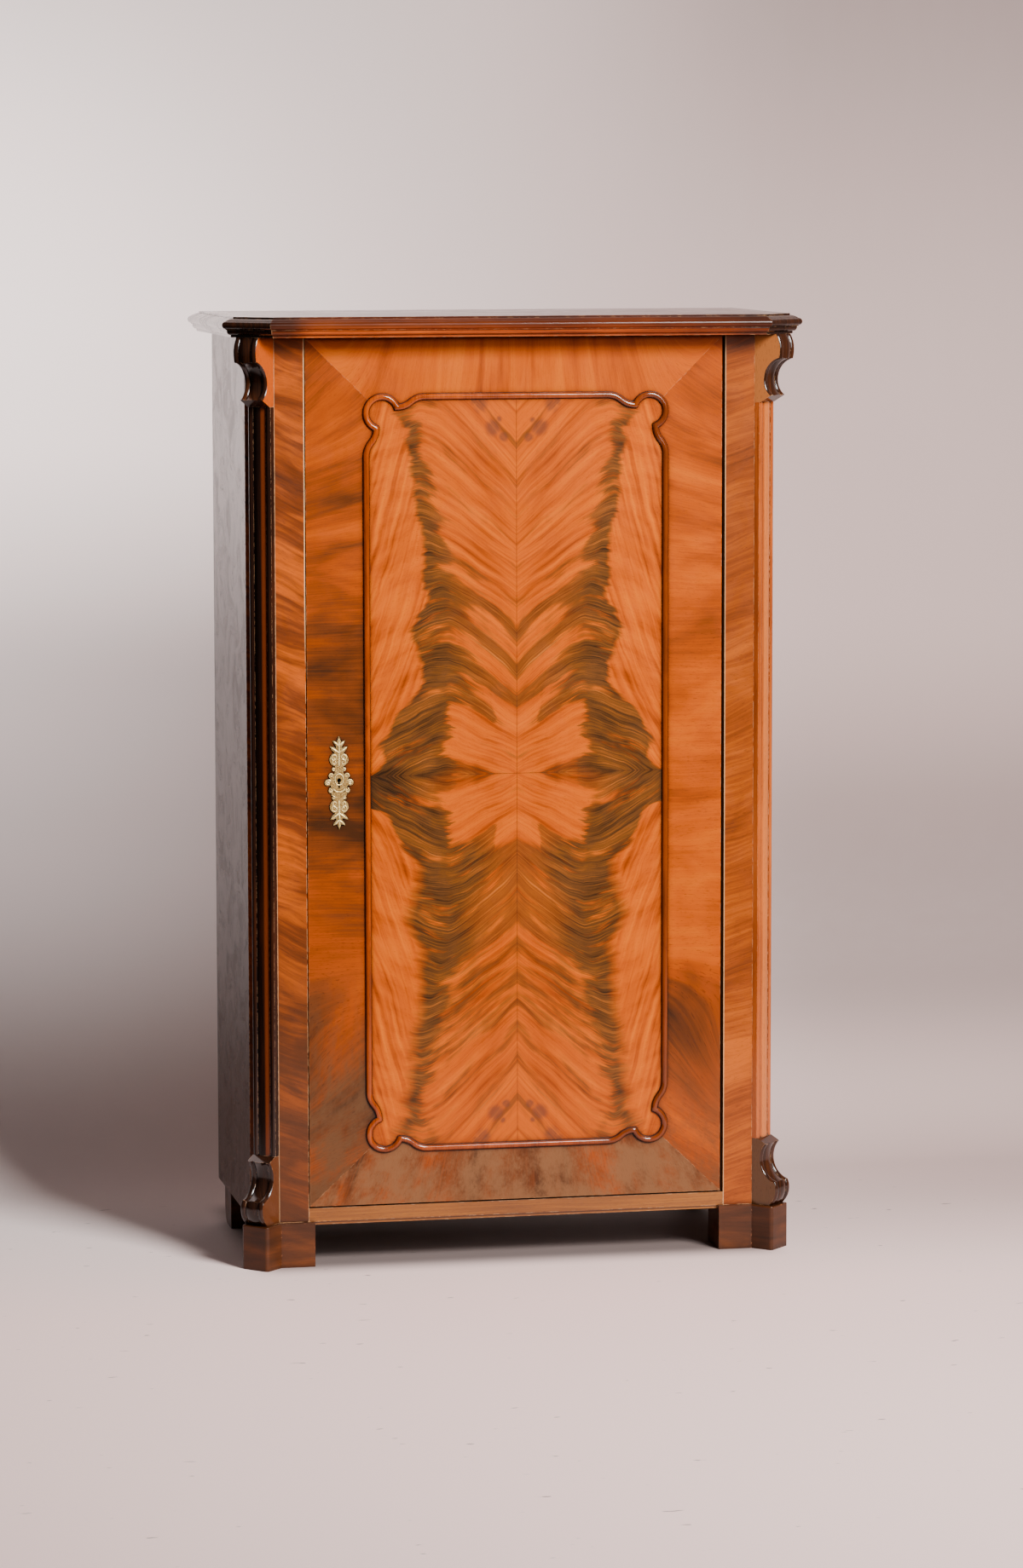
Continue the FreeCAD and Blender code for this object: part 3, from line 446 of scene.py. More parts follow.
# each runs along its own canted face, towards the right, and is square to the other canted face
left_cant, right_cant = (0.707, -0.707, 0), (0.707, 0.707, 0)
# pale swatch for the painted highlights and the painted reflection on the posts
highlight_cream = (226, 180, 132)
strip_middle = Vector(right_cant).dot(sum(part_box("right_reeded_strip"), Vector()) / 2)
# painted reflection on the right post's face beside its strip
reflection_beside_strip = both_masks(
    facing_mask(left_cant, 0.7), place_mask(right_cant, strip_middle + 5 * MM, strip_middle - 5 * MM, 1.0))
left_post = wood(
    "left post veneer", [(70, 32, 10), (112, 50, 14), (186, 84, 10)], "x", 1.3, cloud=0.07, stripe=0.009,
    waviness=0.08, lean=-0.4, coat=0.25, level=0.12, wear=0.9, patchiness=0.25,
    # painted shade on the lower half of the left post
    patches=[(place_mask(z_axis, 0.62, 0.3, 0.65), (62, 38, 22)),
             # painted highlights along the arris, and high up along the opening
             (band_mask(x_axis, -arris_x, 1.2 * MM, 0.35), highlight_cream),
             (both_masks(band_mask(x_axis, -opening_x, 1.8 * MM, 0.9), place_mask(z_axis, 0.9, 1.0, 1.0)),
              highlight_cream)])
right_post = wood(
    "right post veneer", [(86, 40, 12), (136, 60, 10), (178, 86, 14)], "x", 1.8, cloud=0.1, stripe=0.004,
    waviness=0.05, lean=0.3, coat=0.25, level=0.12, wear=0.9, patchiness=0.4,
    # painted reflection on the face beside the strip, in the second patch
    patches=[(place_mask(z_axis, 0.5, 1.2, 0.25), (80, 38, 12)), (reflection_beside_strip, highlight_cream),
             # painted highlight along the opening
             (band_mask(x_axis, opening_x, 1.5 * MM, 0.6), highlight_cream)])
rail_finish = wood(
    "bottom rail", [(88, 46, 12), (126, 68, 12), (160, 94, 20)], "x", 2.1, cloud=0.3, stripe=0.0025, wear=0.7)
side_finish = wood(
    "side board", [(38, 21, 14), (54, 31, 20), (74, 44, 28)], "z", 3.4, cloud=0.25, stripe=0.009,
    roughness=0.22, coat=0.1, wave=0.02, level=0.15, grain_height=0.006)
print("post arris and opening at x (mm):", round(arris_x / MM, 1), round(opening_x / MM, 1))

# %% [markdown]
# ## Cornice, top and feet
#
# Only the front run of the cornice is orange. Its swatches are light, so that the band under its lip stays
# bright in the shade of the overhang: painted light. Its lip and its ends are dark, like the runs round the
# corners, so three masks darken it there. The feet are knocked and scraped, with wide worn edges.

# %% Finish the cornice, the top and the feet
# light swatches: painted light on the band under the lip, which lies in the overhang's shade
cornice_finish = wood(
    "cornice moulding", [(84, 32, 8), (150, 60, 12), (198, 88, 18)], "x", 4.2, cloud=0.12, stripe=0.0022,
    wear=0.5, edge=0.0012, roughness=0.3, coat=0.2, dust=0.0, level=0.1, dirt=0.7,
    patches=[(place_mask(z_axis, 1.401, 1.408, 0.75), (34, 18, 12)),
             (place_mask(x_axis, -0.31, -0.35, 0.75), (30, 15, 10)),
             (place_mask(x_axis, 0.3, 0.35, 0.6), (40, 20, 12))])
top_finish = wood(
    "cupboard top", [(44, 22, 13), (72, 36, 20), (96, 48, 24)], "x", 4.9, cloud=0.25, wear=0.6, edge=0.0012,
    dust=0.0)
foot_finish = wood(
    "foot block", [(42, 22, 10), (76, 38, 15), (108, 54, 20)], "x", 5.5, cloud=0.06, stripe=0.012, wear=0.9,
    patchiness=0.7, edge=0.0024, coat=0.25, level=0.15, dust=0.0, worn=(196, 122, 84))
dark_finish = wood(
    "stained moulding", [(24, 13, 9), (44, 23, 14), (76, 38, 18)], "z", 6.1, cloud=0.16, stripe=0.003,
    wear=0.75, edge=0.001, roughness=0.2, level=0.15, dust=0.05)
print("finishes so far:", len(bpy.data.materials))

# %% [markdown]
# ## Consoles, strips and bead
#
# The scrolls are stained nearly black and polished bright, so that they catch thin highlights. The left strip
# is as dark: painted shade, since it faces away from the lamp, while the right strip is orange. The flat
# cheek of a console shows the lighter wood that it was sawn from, and one reed of each strip is lighter.
# A mask by direction finds a cheek on any of the four consoles, and a band finds the reed.

# %% Finish the consoles
towards_left = (-0.707, -0.707, 0)
console_finishes = []
for piece, seed, cheek, swatch in (
        ("left_upper_console", 6.4, left_cant, (184, 78, 12)),
        ("left_lower_console", 6.7, left_cant, (92, 48, 22)),
        ("right_upper_console", 7.1, towards_left, (204, 122, 62)),
        ("right_lower_console", 7.4, towards_left, (100, 64, 36))):
    finish = wood(
        piece.replace("_", " "), [(22, 12, 8), (42, 22, 13), (76, 38, 18)], "z", seed, cloud=0.08,
        stripe=0.003, wear=0.8, edge=0.001, roughness=0.16, level=0.1, dust=0.0, wave=0.2,
        patches=[(facing_mask(cheek, 0.85), swatch)])
    console_finishes.append((finish, piece))
print("console finishes:", len(console_finishes))


# %% Finish the strips and the bead
def strip_finish(piece, seed, across, swatches, reed, reed_offset, half_width):
    """A stained strip, one of whose reeds is lighter."""
    centre = Vector(across).dot(sum(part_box(piece), Vector()) / 2) + reed_offset
    return wood(
        piece.replace("_", " "), swatches, "z", seed, cloud=0.16, stripe=0.003, wear=0.9, edge=0.001,
        patchiness=0.3, roughness=0.16, coat=0.55, level=0.12, dust=0.0, dirt=1.2, reach=0.005,
        patches=[(band_mask(across, centre, half_width, 0.7), reed)])


# painted shade: the left strip's swatches are far darker than the right one's, as it faces away from the lamp
shaded_left_strip = strip_finish(
    "left_reeded_strip", 6.1, left_cant, [(20, 11, 8), (36, 18, 11), (64, 30, 14)], (124, 54, 20),
    8 * MM, 6 * MM)
right_strip = strip_finish(
    "right_reeded_strip", 6.9, right_cant, [(112, 50, 18), (156, 72, 24), (186, 92, 34)], (200, 110, 50),
    0.0, 9 * MM)
bead_finish = wood(
    "door bead", [(86, 34, 6), (138, 54, 3), (172, 72, 4)], "z", 7.7, cloud=0.05, stripe=0.0018,
    roughness=0.14, wear=0.3, coat=0.6, level=0.1, dirt=1.0, dust=0.1,
    patches=[(place_mask(x_axis, 0.05, 0.16, 0.6), (84, 38, 14)),
             (place_mask((0, 1, 0), door_face - 4.2 * MM, door_face - 1.4 * MM, 0.95), (26, 13, 8))])
print("finishes so far:", len(bpy.data.materials))

# %% [markdown]
# ## Border veneers
#
# The four border veneers are cut across the grain and mitred at the door's corners, so the strokes run level
# on the uprights and upright on the top and bottom. Long clouds along each border vary its tone, and its foot
# is mottled dull brown. A smooth curve over the height sets how dark each side is: partly the veneer's own
# tone, partly painted shade, deepest low on the left. The top border is left without it, to stay bright under
# the cornice's shade, which is painted light.

# %% Make one border finish
DOOR_FOOT, DOOR_HEAD = 0.09, 1.39
border_steps = [
    (0.1, (60, 32, 14)), (0.26, (104, 48, 14)), (0.42, (148, 60, 3)), (0.58, (174, 74, 1)),
    (0.75, (188, 88, 4))]


def border_finish(name, direction, seed, lean_top, lean_foot, foot_height, dull, darkness):
    """The leans turn the strokes towards the corners. Below the foot height the veneer is mottled with dull
    patches. darkness: (height, amount) points, both 0 to 1, from the door's foot to its head; the darkening
    is partly the veneer's own tone and partly painted shade."""
    made, tree, shader = start_material(name)
    x, y, height = split_axes(object_place(tree))
    if direction == "x":
        lean = spread(height, 0.95, 1.3, 0.0, lean_top) + spread(height, 0.5, 0.2, 0.0, lean_foot)
        place = join_axes(x, height - x * lean, y)
    else:
        lean = spread(x, -0.3, 0.3, -1.0, 1.0) * lean_top
        place = join_axes(height, x - height * lean, y)
    grain = use_group(tree, grain_group, {
        "Along": place, "Seed": seed, "Cloud Size": 0.1, "Stripe Width": 0.003, "Waviness": 0.02})
    # darker by height: the veneer's own tone, and painted shade low on the left border
    shadow = curve_through(spread(height, DOOR_FOOT, DOOR_HEAD, smooth=False), darkness)
    tone = grain["Stripes"] * 0.3 + grain["Cloud"] - (shadow * 0.42 + 0.05)
    near_foot = spread(height, foot_height + 0.12, foot_height - 0.12, 0.0, 0.9)
    blotches = spread(noise(place, 15.0, 7.0, 0.72), 0.32, 0.6) * near_foot
    colour = blend_colours(blotches, colour_steps(tone, border_steps), dull)
    polish_over(shader, colour, grain["Pores"], grain["Stripes"], seed, wear=0.4, dirt=1.5, reach=0.01,
                coat=0.18, level=0.08, grain_height=0.012)
    return made


# painted shade, deepest towards the left border's foot, is part of its darkness points
left_border = border_finish(
    "left border veneer", "x", seed=8.2, lean_top=0.9, lean_foot=0.5, foot_height=0.38, dull=(92, 60, 36),
    darkness=[(0, 0.9), (0.16, 0.85), (0.22, 0.8), (0.3, 0.5), (0.4, 0.6), (0.45, 0.85), (0.58, 0.85),
              (0.68, 0.6), (0.8, 0.5), (1, 0.4)])
right_border = border_finish(
    "right border veneer", "x", seed=9.1, lean_top=-0.7, lean_foot=-0.6, foot_height=0.24, dull=(106, 60, 32),
    darkness=[(0, 0.35), (0.1, 0.35), (0.2, 0.5), (0.3, 0.25), (0.45, 0.1), (0.6, 0.25), (0.8, 0.25),
              (1, 0.3)])
# no darkening on the top border: painted light under the cornice's shade
top_border = border_finish(
    "top border veneer", "z", seed=10.4, lean_top=0.8, lean_foot=0.0, foot_height=0.0, dull=(120, 66, 34),
    darkness=[(0, 0.0), (1, 0.0)])
bottom_border = border_finish(
    "bottom border veneer", "z", seed=11.9, lean_top=-0.5, lean_foot=0.0, foot_height=0.4, dull=(122, 80, 50),
    darkness=[(0, 0.8), (1, 0.7)])
print("border finishes:", sum("border" in made.name for made in bpy.data.materials))

# %% [markdown]
# ## The flame veneer
#
# Flame mahogany is cut from the crotch of the tree. The figure is a dark plume whose fine strokes rise in an
# arch and sink towards the middle, like feathers. Four leaves cut one after the other are opened like a book
# about both seams, so each quarter mirrors its neighbours.
#
# The group first folds the position about the seams. It then works out one number that is constant along a
# stroke: the height, lifted by a power curve towards the seam. Noise that changes fast with this number and
# slowly along the stroke draws the feathers. A curve gives the plume's outer edge at each height, and the
# darkness falls off from that edge towards the middle. All its lengths are in millimetres.

# %% Fold the panel about its seams
LEAF_WIDTH, LEAF_HEIGHT = 250.0, 570.0
flame_group, took, gave = start_group(
    "flame figure", {"Place": "Vector", "Seam X": 0.0, "Seam Z": 0.737},
    ["Dark", "Strokes", "Glow", "Soft Strokes", "Pores", "Smudge", "Joint"])


def centred(value, amount):
    """A noise between 0 and 1, turned into one that swings by amount about zero."""
    return value * amount - amount / 2


x, _, z = split_axes(took["Place"])
sideways = (x - took["Seam X"]) / MM
upright = (z - took["Seam Z"]) / MM
out, rise = abs(sideways), abs(upright)
below = spread(upright, 10.0, -10.0)
slip = centred(noise(took["Place"], 9.0, 3.0), 14.0)
out_bent, rise_bent = out + slip, rise + slip
feed(gave["Joint"], spread(maths("MINIMUM", out, rise), 0.7, 0.3))
print("nodes that fold:", len(flame_group.nodes))

# %% Work out the arched strokes
crest = spread(rise, 220.0, 420.0, 104.0, 148.0)
inner_reach = maths("MAXIMUM", 1.0 - out_bent / crest, 0.0)
outer_reach = maths("MAXIMUM", out_bent - crest, 0.0)
depth = spread(rise, 0.0, 140.0, 42.0, 78.0) + spread(rise, 230.0, 420.0, 0.0, 52.0)
arch = rise_bent + depth * inner_reach ** 1.35 + outer_reach ** 1.5 * 0.042
fold = join_axes(arch / 80.0, out / 70.0, 0.0)
stroke = arch + centred(noise(fold, 1.0, 2.0, 0.4), 24.0)


def feathers(width, length, detail, seed):
    """Noise along the strokes: width across them and length along them."""
    return noise(join_axes(stroke / width, out / length, seed), 1.0, detail, 0.62)


fine = feathers(2.6, 110.0, 3.0, 1.0)
medium = feathers(12.0, 90.0, 3.0, 5.0)
broad = feathers(38.0, 55.0, 2.0, 9.0)
soft = feathers(9.0, 170.0, 2.0, 17.0)
print("nodes with the strokes:", len(flame_group.nodes))

# %% Shape the dark plume
height_share = rise / LEAF_HEIGHT
plume_edge = curve_through(height_share, [
    (0.0, 0.76), (0.05, 0.83), (0.075, 0.85), (0.11, 0.79), (0.155, 0.77), (0.2, 0.66), (0.23, 0.61),
    (0.31, 0.61), (0.38, 0.625), (0.44, 0.6), (0.53, 0.58), (0.61, 0.6), (0.7, 0.63), (0.79, 0.64),
    (0.88, 0.69), (1.0, 0.75)])
solid_width = curve_through(height_share, [
    (0.0, 0.4), (0.16, 0.36), (0.26, 0.27), (0.35, 0.21), (0.44, 0.18), (0.53, 0.15), (0.6, 0.12), (0.8, 0.1),
    (1.0, 0.08)])
widening = below * (spread(rise, 96.0, 112.0, 0.0, 14.0) + spread(rise, 54.0, 42.0, 0.0, 34.0))
widening = widening + spread(rise, 22.0, 4.0, 0.0, 18.0)
jag = centred(feathers(9.0, 120.0, 4.0, 13.0), 30.0) + centred(feathers(40.0, 300.0, 1.0, 15.0), 40.0)
inside = plume_edge * LEAF_WIDTH + jag + widening - out_bent
solid = solid_width * LEAF_WIDTH + below * spread(rise, 60.0, 130.0, 0.0, 42.0)
middle = spread(inside - solid, -22.0, 42.0)
print("nodes with the plume:", len(flame_group.nodes))

# %% Band the strokes that sink to the middle seam
BAND_START, BAND_SPACING = 178.0, 55.0
bands = maths("COSINE", (stroke - BAND_START) * (math.tau / BAND_SPACING))
brown_foot = below * spread(rise, 90.0, 130.0) * spread(rise, 470.0, 330.0, 0.0, 0.22)
between = bands * (below * -0.13 + 0.27) + brown_foot + 0.53
core = blend(middle, spread(rise, 330.0, 480.0, 0.76, 0.6), between)
print("nodes with the bands:", len(flame_group.nodes))

# %% Clear the bright heart and the wedges beside the seam
ragged = out_bent + centred(medium, 30.0) + centred(fine, 18.0)
heart = maths("MAXIMUM", ragged / 104.0, stroke / 106.0)
throat = maths("MAXIMUM", out_bent / 34.0, stroke / 152.0)
bright_heart = maths("MAXIMUM", spread(heart, 1.12, 0.86), spread(throat, 1.15, 0.85))
core = core - bright_heart * spread(rise, 14.0, 50.0, 0.2, 0.48)
wedge_edge = curve_through(below * 0.06 + height_share, [
    (0.0, 0.0), (0.43, 0.0), (0.5, 0.18), (0.6, 0.42), (0.7, 0.47), (0.8, 0.53), (0.9, 0.58), (1.0, 0.63)])
wedge = wedge_edge * LEAF_WIDTH - out_bent
core = core - spread(wedge, -16.0, 16.0) * (below * -0.17 + 0.4)
print("nodes with the heart:", len(flame_group.nodes))

# %% Break the darkness into strokes
core = core + centred(medium, 0.95) + centred(broad, 0.85) + centred(fine, 1.0)
soft_rim = below * spread(rise, 90.0, 150.0, 0.0, 16.0) + 8.0
dark = spread(core, 0.34, 0.66) * spread(inside, -2.0, soft_rim)
fainter = middle * (below * 0.1 + 0.2)
feed(gave["Dark"], dark * (1.0 - fainter))
print("nodes with the darkness:", len(flame_group.nodes))

# %% Smudges near the top and bottom of the middle seam
smudge = 0.0
for spot_out, spot_rise, size in ((52, 551, 12), (34, 517, 12), (19, 503, 7), (63, 556, 7), (24, 528, 5)):
    across_spot, up_spot = (out_bent - spot_out) / size, (rise_bent - spot_rise) / size
    far = (across_spot * across_spot + up_spot * up_spot) ** 0.5
    smudge = maths("MAXIMUM", smudge, spread(far + centred(medium, 1.4), 1.3, 0.4))
feed(gave["Smudge"], maths("MULTIPLY", smudge, fine * 0.8 + 0.4, clamp=True))
print("nodes with the smudges:", len(flame_group.nodes))

# %% Strokes outside the plume, and pores along the strokes
splay = (1.0 - maths("EXPONENT", rise_bent / -110.0)) * 60.0
fan_line = rise_bent * 0.25 + out_bent + splay
fan = noise(join_axes(fan_line / 7.0, rise / 170.0, 21.0), 1.0, 2.0, 0.5)
within = spread(inside, -6.0, 10.0)
feed(gave["Soft Strokes"], blend(within, fan, soft))
burnt = spread(upright, -62.0, -40.0) * spread(upright, 20.0, 6.0)
burnt = burnt * spread(sideways, -130.0, -200.0, 0.0, 0.14)
feed(gave["Strokes"], blend(within, fan, fine) - burnt)
feed(gave["Glow"], noise(join_axes(stroke / 30.0, out / 90.0, 41.0), 1.0))
feed(gave["Pores"], spread(noise(join_axes(stroke / 0.7, out / 7.0, 31.0), 1.0, 1.0), 0.62, 0.75))
print("flame group nodes:", len(flame_group.nodes))

# %% Finish the flame leaves
flame_finish, tree, shader = start_material("flame veneer")
figure = use_group(tree, flame_group, {"Place": object_place(tree), "Seam X": seam_x, "Seam Z": seam_z})
ground = colour_steps(figure["Strokes"] * 0.2 + figure["Glow"] * 0.45 + figure["Soft Strokes"] * 0.4, [
    (0.36, (128, 49, 1)), (0.46, (164, 67, 0)), (0.54, (184, 79, 0)), (0.68, (202, 96, 1))])
shade = colour_steps(figure["Strokes"] * 0.6 + figure["Glow"] * 0.4, [
    (0.36, (40, 24, 12)), (0.45, (72, 43, 19)), (0.53, (96, 56, 22)), (0.61, (128, 69, 23)),
    (0.7, (172, 96, 38))])
colour = blend_colours(figure["Dark"], ground, shade)
colour = blend_colours(figure["Smudge"] * 0.75, colour, (70, 50, 42))
colour = blend_colours(figure["Joint"] * 0.6, colour, (66, 34, 16))
polish_over(shader, colour, figure["Pores"], figure["Strokes"], 12.6, wear=0.0, dirt=2.2, reach=0.014,
            wave=0.06, coat=0.18, level=0.08, grain_height=0.01)
print("flame finish nodes:", len(tree.nodes))

# %% [markdown]
# ## Pine, brass and iron
#
# The inside is plain pine that was never polished: matt, yellow-brown and dusty. Brass is cast and was
# once gilt, so it is pale on its heights and brown in its hollows. Its worn edges are pale too, which also
# paints the highlights along the brass rims. Iron is dark, with a little rust.

# %% Mix the inner pine
pine = {"cloud": 0.3, "balance": (0.6, 0.4, 0.0), "steps": (0.32, 0.5, 0.68), "pore": 0.4, "wear": 0.3,
        "dirt": 0.7, "coat": 0.0}
pine_finish = wood(
    "inner pine", [(138, 92, 54), (176, 128, 82), (198, 152, 104)], "x", 14.0, stripe=0.008, waviness=0.03,
    dust=0.5, roughness=0.66, **pine)
upright_pine = wood(
    "inner pine upright", [(126, 84, 50), (166, 118, 74), (190, 144, 96)], "z", 15.0, stripe=0.009,
    waviness=0.05, dust=0.4, roughness=0.7, wave=0.12, **pine)
print("pine finishes:", pine_finish.name, "and", upright_pine.name)


# %% Mix brass and iron
def metal_finish(name, hollow, face, height, seed, metallic, roughness, grit):
    """A swatch each for the hollows, the face and the heights. grit: how fine the pits are."""
    made, tree, shader = start_material(name)
    aged = use_group(tree, wear_group, {"Edge": 0.0006, "Patchiness": 0.2, "Seed": seed})
    pits = noise(object_place(tree), grit, 4.0, 0.6)
    colour = colour_steps(pits, [(0.3, hollow), (0.52, face), (0.72, height)])
    colour = blend_colours(aged["Dirt"] * 0.85, colour, hollow)
    # worn edges take the pale swatch: rubbed metal, and on the brass a painted highlight along the rims
    colour = blend_colours(aged["Worn"], colour, height)
    feed(shader.inputs["Metallic"], maths("ADD", aged["Dirt"] * -0.5, metallic, clamp=True))
    feed_shader(shader, colour, maths("ADD", pits * 0.3, roughness - 0.15, clamp=True), pits, 0.4, 0.0004)
    return made


brass_finish = metal_finish("cast brass", (62, 40, 16), (150, 112, 52), (240, 212, 140), seed=16.0,
                            metallic=0.5, roughness=0.45, grit=700.0)
gilt_finish = metal_finish("rubbed brass", (140, 100, 42), (246, 218, 140), (255, 244, 200), seed=18.0,
                           metallic=0.5, roughness=0.36, grit=500.0)
iron_finish = metal_finish("dark iron", (44, 30, 24), (70, 66, 62), (120, 114, 108), seed=17.0,
                           metallic=0.85, roughness=0.5, grit=300.0)
print("all finishes:", sorted(m.name for m in bpy.data.materials))

# %% [markdown]
# ## Give every CAD piece its finish
#
# The finishes are handed out by the piece's name. A piece takes the first rule with a word that its name
# holds, so the special cases come before the general ones. What no rule names is pine.

# %% Hand out the finishes
finish_rules = console_finishes + [
    (flame_finish, "flame_veneer"), (left_border, "border_veneer_left"),
    (right_border, "border_veneer_right"), (top_border, "border_veneer_top"),
    (bottom_border, "border_veneer_bottom"), (bead_finish, "panel_bead"), (brass_finish, "escutcheon"),
    (iron_finish, "lock_case lock_bolt strike_plate pivot"), (shaded_left_strip, "left_reeded_strip"),
    (right_strip, "right_reeded_strip"),
    (cornice_finish, "cornice_front"), (dark_finish, "cornice"),
    (left_post, "left_corner_post"), (right_post, "right_corner_post"), (side_finish, "side_panel"),
    (pine_finish, "door_bottom_rail"), (rail_finish, "bottom_rail"),
    (foot_finish, "front_foot back_foot plinth_block"), (top_finish, "top_panel"),
    (upright_pine, "door_left_stile door_right_stile door_panel back_board")]
for name, piece in cupboard.items():
    fitting = [finish for finish, words in finish_rules if any(word in name for word in words.split())]
    piece.data.materials.clear()
    piece.data.materials.append((fitting + [pine_finish])[0])
print("pieces with a finish:", len(cupboard))

# %% [markdown]
# ## The round bead on the door
#
# The bead is a half-round moulding a little under 10 mm wide, planted on the veneer, with a round lobe at
# each corner and a sharp mitre where the lobe meets the runs. A sweep is the natural tool: the line is drawn
# once, and Geometry Nodes carry one section along it. At a mitre the section must be wider, by one over the
# cosine of half the turn, so each point of the line carries that number in an attribute.

# %% Measure the bead
lobe_radius = 24 * MM
lobe_half_angle = math.radians(114)
lobe_steps = 24
ogee_length = 42 * MM
bead_width = 9.7 * MM
bead_height = 4.9 * MM
line_half_width = (bead_high.x - bead_low.x - bead_width) / 2
line_half_height = (bead_high.z - bead_low.z - bead_width) / 2
line_middle = (bead_low + bead_high) / 2
print("half of the bead's line (mm):", round(line_half_width / MM, 1), round(line_half_height / MM, 1))


# %% Draw the bead's line
def on_circle(centre, radius, angle):
    return centre + radius * Vector((math.cos(angle), math.sin(angle)))


def arc_between(first, last, heading, steps):
    """Points on the arc that leaves first in a heading and ends at last, without the first point."""
    chord = last - first
    bend = 2 * math.remainder(math.atan2(chord.y, chord.x) - heading, math.tau)
    points = []
    for step in range(1, steps + 1):
        half_turn = bend * step / steps / 2
        length = chord.length * math.sin(half_turn) / math.sin(bend / 2)
        points.append(on_circle(first, length, heading + half_turn))
    return points, heading + bend


def ogee(first, last, heading, steps=10):
    """Two equal arcs that leave and arrive in the same heading."""
    middle = (first + last) / 2
    front, turned = arc_between(first, middle, heading, steps)
    return front + arc_between(middle, last, turned, steps)[0]


def quarter_line():
    """The upper right quarter, from the middle of the top run to the middle of the side run, clockwise."""
    centre = Vector((line_half_width - lobe_radius, line_half_height - lobe_radius))
    lobe = [on_circle(centre, lobe_radius, math.pi / 4 + lobe_half_angle * (1 - step / lobe_steps))
            for step in range(2 * lobe_steps + 1)]
    top_flat = Vector((lobe[0].x - ogee_length, line_half_height))
    side_flat = Vector((line_half_width, lobe[-1].y - ogee_length))
    return [top_flat] + ogee(top_flat, lobe[0], 0.0) + lobe[1:] + ogee(lobe[-1], side_flat, -math.pi / 2)


bead_line = []
for flip_x, flip_z, way in ((1, 1, 1), (1, -1, -1), (-1, -1, 1), (-1, 1, -1)):
    bead_line += [Vector((p.x * flip_x, p.y * flip_z)) for p in quarter_line()][::way]
print("points on the bead's line:", len(bead_line))


# %% Store lines with numbers on their points
def line_object(name, points, edges, **numbers):
    """Loose points and edges, with named numbers on each point."""
    mesh = bpy.data.meshes.new(name)
    mesh.from_pydata(points, edges, [])
    for label, values in numbers.items():
        mesh.attributes.new(label, "FLOAT", "POINT").data.foreach_set("value", values)
    return add_object(name, mesh)


def mitre_width(before, here, after):
    turn = (here - before).normalized().dot((after - here).normalized())
    return 1 / math.sqrt((1 + max(-0.5, turn)) / 2)


count = len(bead_line)
ring = [(i, (i + 1) % count) for i in range(count)]
mitres = [mitre_width(bead_line[i - 1], bead_line[i], bead_line[after]) for i, after in ring]
bead_piece = line_object(
    "round_bead", [(p.x, p.y, 0) for p in bead_line], ring, wide=mitres, high=[1.0] * count)
print("widest mitre:", round(max(mitres), 2))


# %% Helpers for Geometry Nodes
def finish_geometry(geometry, took, gave):
    """Every tree ends the same way: real mesh instead of instances, then the material."""
    real = signal(geometry.tree, "GeometryNodeRealizeInstances", {0: geometry})
    feed(gave["Geometry"], signal(geometry.tree, "GeometryNodeSetMaterial", {
        "Geometry": real, "Material": took["Material"]}))


def named_number(tree, name, data_type="FLOAT"):
    return signal(tree, "GeometryNodeInputNamedAttribute", {"Name": name}, data_type=data_type)


def bake_geometry(piece, tree, **values):
    """Runs a tree on an object, keeps the result as a plain mesh, and removes the modifier."""
    modifier = piece.modifiers.new(tree.name, "NODES")
    modifier.node_group = tree
    for item in tree.interface.items_tree:
        if item.in_out == "INPUT" and item.name in values:
            modifier[item.identifier] = values[item.name]
    bpy.context.view_layer.update()
    evaluated = piece.evaluated_get(bpy.context.evaluated_depsgraph_get())
    made, points = bpy.data.meshes.new_from_object(evaluated), piece.data
    piece.modifiers.remove(modifier)
    piece.data = made
    bpy.data.meshes.remove(points)


# %% Build the sweep and run it
sweep_tree, took, gave = start_group(
    "sweep a line", {"Geometry": "Geometry", "Sides": 24, "Caps": False, "Width": 0.001, "Height": 0.001,
                     "Material": "Material"}, ["Geometry"], "Geometry")
line = signal(sweep_tree, "GeometryNodeMeshToCurve", {0: took["Geometry"]})
section = signal(sweep_tree, "GeometryNodeCurvePrimitiveCircle", {"Resolution": took["Sides"], "Radius": 1.0})
half_width = named_number(sweep_tree, "wide") * took["Width"]
swept = signal(sweep_tree, "GeometryNodeCurveToMesh", {
    "Curve": line, "Profile Curve": section, "Scale": half_width, "Fill Caps": took["Caps"]})
px, py, pz = split_axes(signal(sweep_tree, "GeometryNodeInputPosition"))
lifted = pz / half_width * named_number(sweep_tree, "high") * took["Height"]
placed = signal(sweep_tree, "GeometryNodeSetPosition", {
    "Geometry": swept, "Position": join_axes(px, py, lifted)})
finish_geometry(signal(sweep_tree, "GeometryNodeSetShadeSmooth", {0: placed, 2: True}), took, gave)


def stand_up(piece, x, y, z):
    """Turns a piece that was drawn lying down, so that it stands on the door's face."""
    piece.data.transform(Matrix.Translation((x, y, z)) @ Matrix.Rotation(math.pi / 2, 4, "X"))


bake_geometry(bead_piece, sweep_tree, Width=bead_width / 2, Height=bead_height, Material=bead_finish)
stand_up(bead_piece, line_middle.x, door_face, line_middle.z)
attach(bead_piece, "door")
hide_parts("panel_bead")
print("bead faces:", len(bead_piece.data.polygons))

# %% [markdown]
# ## Relief on the escutcheon
#
# The escutcheon is a cast plate: scrolls, leaves and small buttons stand up from its pierced outline. The CAD
# plate gives the outline and stays. The relief is drawn as flat lines that get thicker and thinner, and the
# same sweep turns each line into a rounded rib. Its lengths are in millimetres from the keyhole, as
# (x, z, thickness) points.

# %% Draw the scrolls
plate_low, plate_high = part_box("escutcheon")
key_x = (plate_low.x + plate_high.x) / 2
key_z = 0.733
ribs = []


